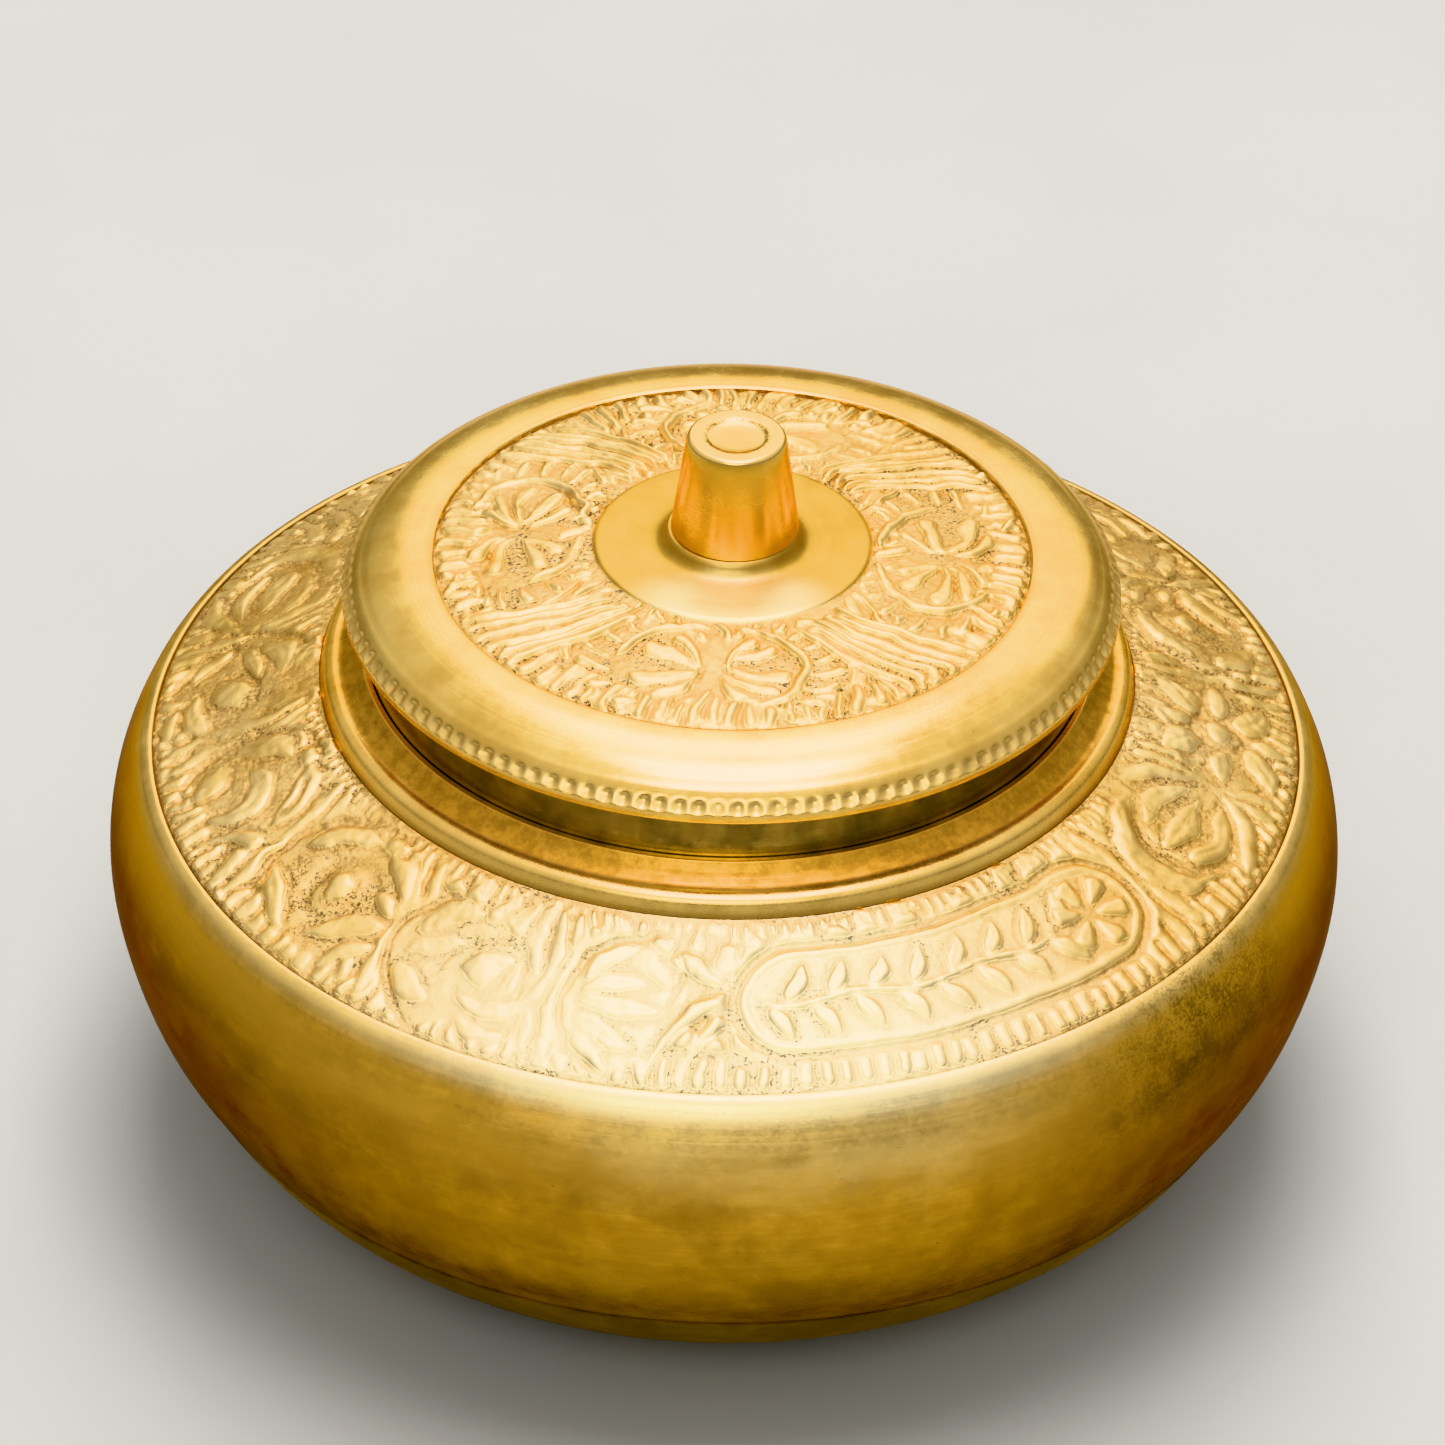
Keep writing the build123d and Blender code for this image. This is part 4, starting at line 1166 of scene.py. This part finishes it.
# inwards: the raised plain disc
ins = [first]
for r, z in [(disc_r - 0.10, disc_z - 0.17), (disc_r - 0.26, disc_z - 0.05)]:
    ins.append(b.circle(r, z, LC // 2))
for r, z in [(disc_r - 0.50, disc_z - 0.02), (10.0, disc_z), (9.0, disc_z), (8.2, disc_z), (7.4, disc_z + 0.01), (6.7, disc_z + 0.03), (6.2, disc_z + 0.10), (5.86, disc_z + 0.24), (5.60, disc_z + 0.50), (5.40, disc_z + 0.88), (5.24, disc_z + 1.34), (5.10, disc_z + 1.34), (3.0, disc_z + 1.34), (hole_r, disc_z + 1.34),
             (hole_r, disc_z - 0.28 - lid_plate_t), (6.0, disc_z - 0.28 - lid_plate_t), (disc_r, disc_z - 0.28 - lid_plate_t), (17.0, 53.72 - 0.2),
             (lip_r - 0.4, plate_top_z - lid_plate_t), (plate_r, plate_top_z - lid_plate_t), (plate_r, plate_top_z), (lip_r + 0.1, plate_top_z)]:
    ins.append(b.circle(r, z, LC // 4))
for p, q in zip(ins[:-1], ins[1:]):
    b.join(p, q)
b.join(outer, ins[-1])
m_plate = mat_relief("brass_lid_relief", 5.0, 0.85, 0.12, 0.66, 6.0, 20.0)
m_disc = mat_disc()
plate = put(b.mesh("lid_plate_relief", 75, cav=True), "lid", "lid_plate", m_plate)
plate.data.materials.append(m_disc)
for p in plate.data.polygons:
    c = p.center
    if math.hypot(c.x, c.y) < (disc_r - 0.05) * MM:
        p.material_index = 1

# lid skirt
skirt = rounded([
    (skirt_r - 1.2, under_z), (skirt_r - 1.2, 44.6, 0.25), (skirt_r, 44.6, 0.45), (skirt_r, under_z)], 5)
put(lathe("lid_skirt_turned", densify(skirt, 1.5), 384, None, 40), "lid", "lid_skirt",
    mat_plain("brass_skirt", (0.74, 0.44, 0.12), (0.60, 0.34, 0.08), (0.44, 0.22, 0.04), (0.24, 0.38), 0.006, 5.0, patina=BROWN, patina_amt=0.3, specks=0.5))

# knob
knob = (
    [(0, 61.75), (1.73, 61.75), (1.73, knob_base_z + 1.36), (5.06, knob_base_z + 1.36), (5.14, knob_base_z + 1.44)]
    + densify([(5.12, knob_base_z + 1.6), (4.03, knob_top_z - 0.48)], 0.8)
    + spline([(4.00, knob_top_z - 0.40), (3.88, knob_top_z - 0.13), (3.55, knob_top_z)], 4, (-0.12, 1.0), (-1.0, 0.0))
    + [(3.1, knob_top_z - 0.01), (2.70, knob_top_z - 0.01), (2.50, knob_top_z - 0.04), (2.36, knob_top_z - 0.12), (2.10, knob_top_z - 0.20),
       (1.5, knob_top_z - 0.26), (0.8, knob_top_z - 0.30), (0, knob_top_z - 0.31)])
put(lathe("knob_turned", knob, 192, None, 40), "lid", "knob", mat_knob())

# hidden fixing: washer and peened stud
z0 = disc_z - 0.28 - lid_plate_t
m_fix = mat_plain("brass_fixing", (0.72, 0.43, 0.13), (0.56, 0.32, 0.08), (0.38, 0.20, 0.04), (0.30, 0.46), 0.006, 4.0, patina=BROWN, patina_amt=0.4, specks=0.6)
washer = rounded([(1.73, z0), (4.2, z0, 0.12), (4.2, z0 - 0.9, 0.22), (1.73, z0 - 0.9)], 4)
put(lathe("washer_plain", densify(washer, 0.8), 96, None, 40), "lid", "knob_washer", m_fix)
rngp = np.random.default_rng(4)
ph = rngp.uniform(0, 6.28, 4)


def peen(a, z):
    return 0.09 * np.sin(3 * a + ph[0]) + 0.06 * np.sin(5 * a + ph[1]) + 0.04 * np.sin(9 * a + ph[2]) if z < z0 - 0.95 else 0 * a


stud = ([(0, 61.73), (1.70, 61.73), (1.70, z0 - 0.9), (2.85, z0 - 0.92), (2.98, z0 - 1.02), (2.96, z0 - 1.16)]
        + spline([(2.80, z0 - 1.30), (2.10, z0 - 1.66), (1.1, z0 - 1.92), (0.4, z0 - 1.97)], 4) + [(0, z0 - 1.98)])
put(lathe("stud_peened", stud, 96, peen, 40), "lid", "knob_stud", m_fix)

# ------------------------------------------------------------------ stage
floor_me = bpy.data.meshes.new("floor")
S = 3.0
floor_me.from_pydata([(-S, -S, 0), (S, -S, 0), (S, S, 0), (-S, S, 0)], [], [[0, 1, 2, 3]])
floor = bpy.data.objects.new("floor", floor_me)
bpy.context.collection.objects.link(floor)
fm, fnt, fbs = material("floor_paper")
fg = Graph(fnt)
fcol = fg.colours(fg.noise(0.02, 3, 0.5), [(0.3, (0.385, 0.38, 0.372)), (0.7, (0.405, 0.40, 0.392))])
fnt.links.new(fcol, fbs.inputs["Base Color"])
fbs.inputs["Roughness"].default_value = 0.75
floor_me.materials.append(fm)

# a soft tent: dim at the horizon, brighter overhead
world = bpy.data.worlds.new("studio")
bpy.context.scene.world = world
world.use_nodes = True
wn = world.node_tree
bg = wn.nodes["Background"]
wt = wn.nodes.new("ShaderNodeTexCoord")
ws = wn.nodes.new("ShaderNodeSeparateXYZ")
wr = wn.nodes.new("ShaderNodeValToRGB")
wn.links.new(wt.outputs["Generated"], ws.inputs[0])
wn.links.new(ws.outputs[2], wr.inputs[0])
wn.links.new(wr.outputs[0], bg.inputs[0])
tent = [(0.0, 0.30), (0.25, 0.42), (0.50, 0.70), (0.64, 0.75), (0.80, 0.82), (1.0, 0.95)]
while len(wr.color_ramp.elements) < len(tent):
    wr.color_ramp.elements.new(0.5)
for e, (p, v) in zip(wr.color_ramp.elements, tent):
    e.position, e.color = p, (v, v * 0.985, v * 0.955, 1)
bg.inputs[1].default_value = 0.98


def area(name, loc, target, size, radiance, color=(1, 1, 1), size_y=None):
    """A soft panel. Its radiance is what a mirror would show."""
    li = bpy.data.lights.new(name, "AREA")
    li.color, li.size = color, size
    li.shape, li.size_y = "RECTANGLE", size_y or size
    li.energy = radiance * math.pi * li.size * li.size_y
    ob = bpy.data.objects.new(name, li)
    ob.location = loc
    ob.rotation_euler = (Vector(target) - Vector(loc)).to_track_quat("-Z", "Y").to_euler()
    bpy.context.collection.objects.link(ob)
    return ob


area("key_top", (0.02, 0.00, 0.66), (0, 0, 0.04), 0.38, 10.5, (1.0, 0.985, 0.96), 0.30)
area("rear_high", (0.00, 0.36, 0.64), (0, 0, 0.04), 0.30, 7.0, (1.0, 1.0, 0.92), 0.20)
area("front_soft", (-0.05, -0.72, 0.62), (0, 0, 0.03), 0.50, 3.7, (0.955, 1.0, 0.88), 0.44)
area("back_soft", (0.10, 0.80, 0.60), (0, 0, 0.05), 0.80, 1.3, (1.0, 0.985, 0.96), 0.50)

bpy.context.scene.view_settings.view_transform = "Khronos PBR Neutral"

# ------------------------------------------------------------------ camera
el, dist, roll = math.radians(36.27), 0.49215, math.radians(1.096)
look = Vector((-0.30 * MM, 0, 37.51 * MM))
fw = Vector((0, math.cos(el), -math.sin(el)))
cam_data = bpy.data.cameras.new("camera")
cam_data.sensor_width = 36.0
cam_data.lens = 5995 / 1445 * 36.0
cam_data.clip_start, cam_data.clip_end = 0.01, 20
cam = bpy.data.objects.new("camera", cam_data)
cam.location = look - fw * dist
cam.rotation_euler = (fw.to_track_quat("-Z", "Y").to_matrix() @ Matrix.Rotation(roll, 3, "Z")).to_euler()
bpy.context.collection.objects.link(cam)
bpy.context.scene.camera = cam
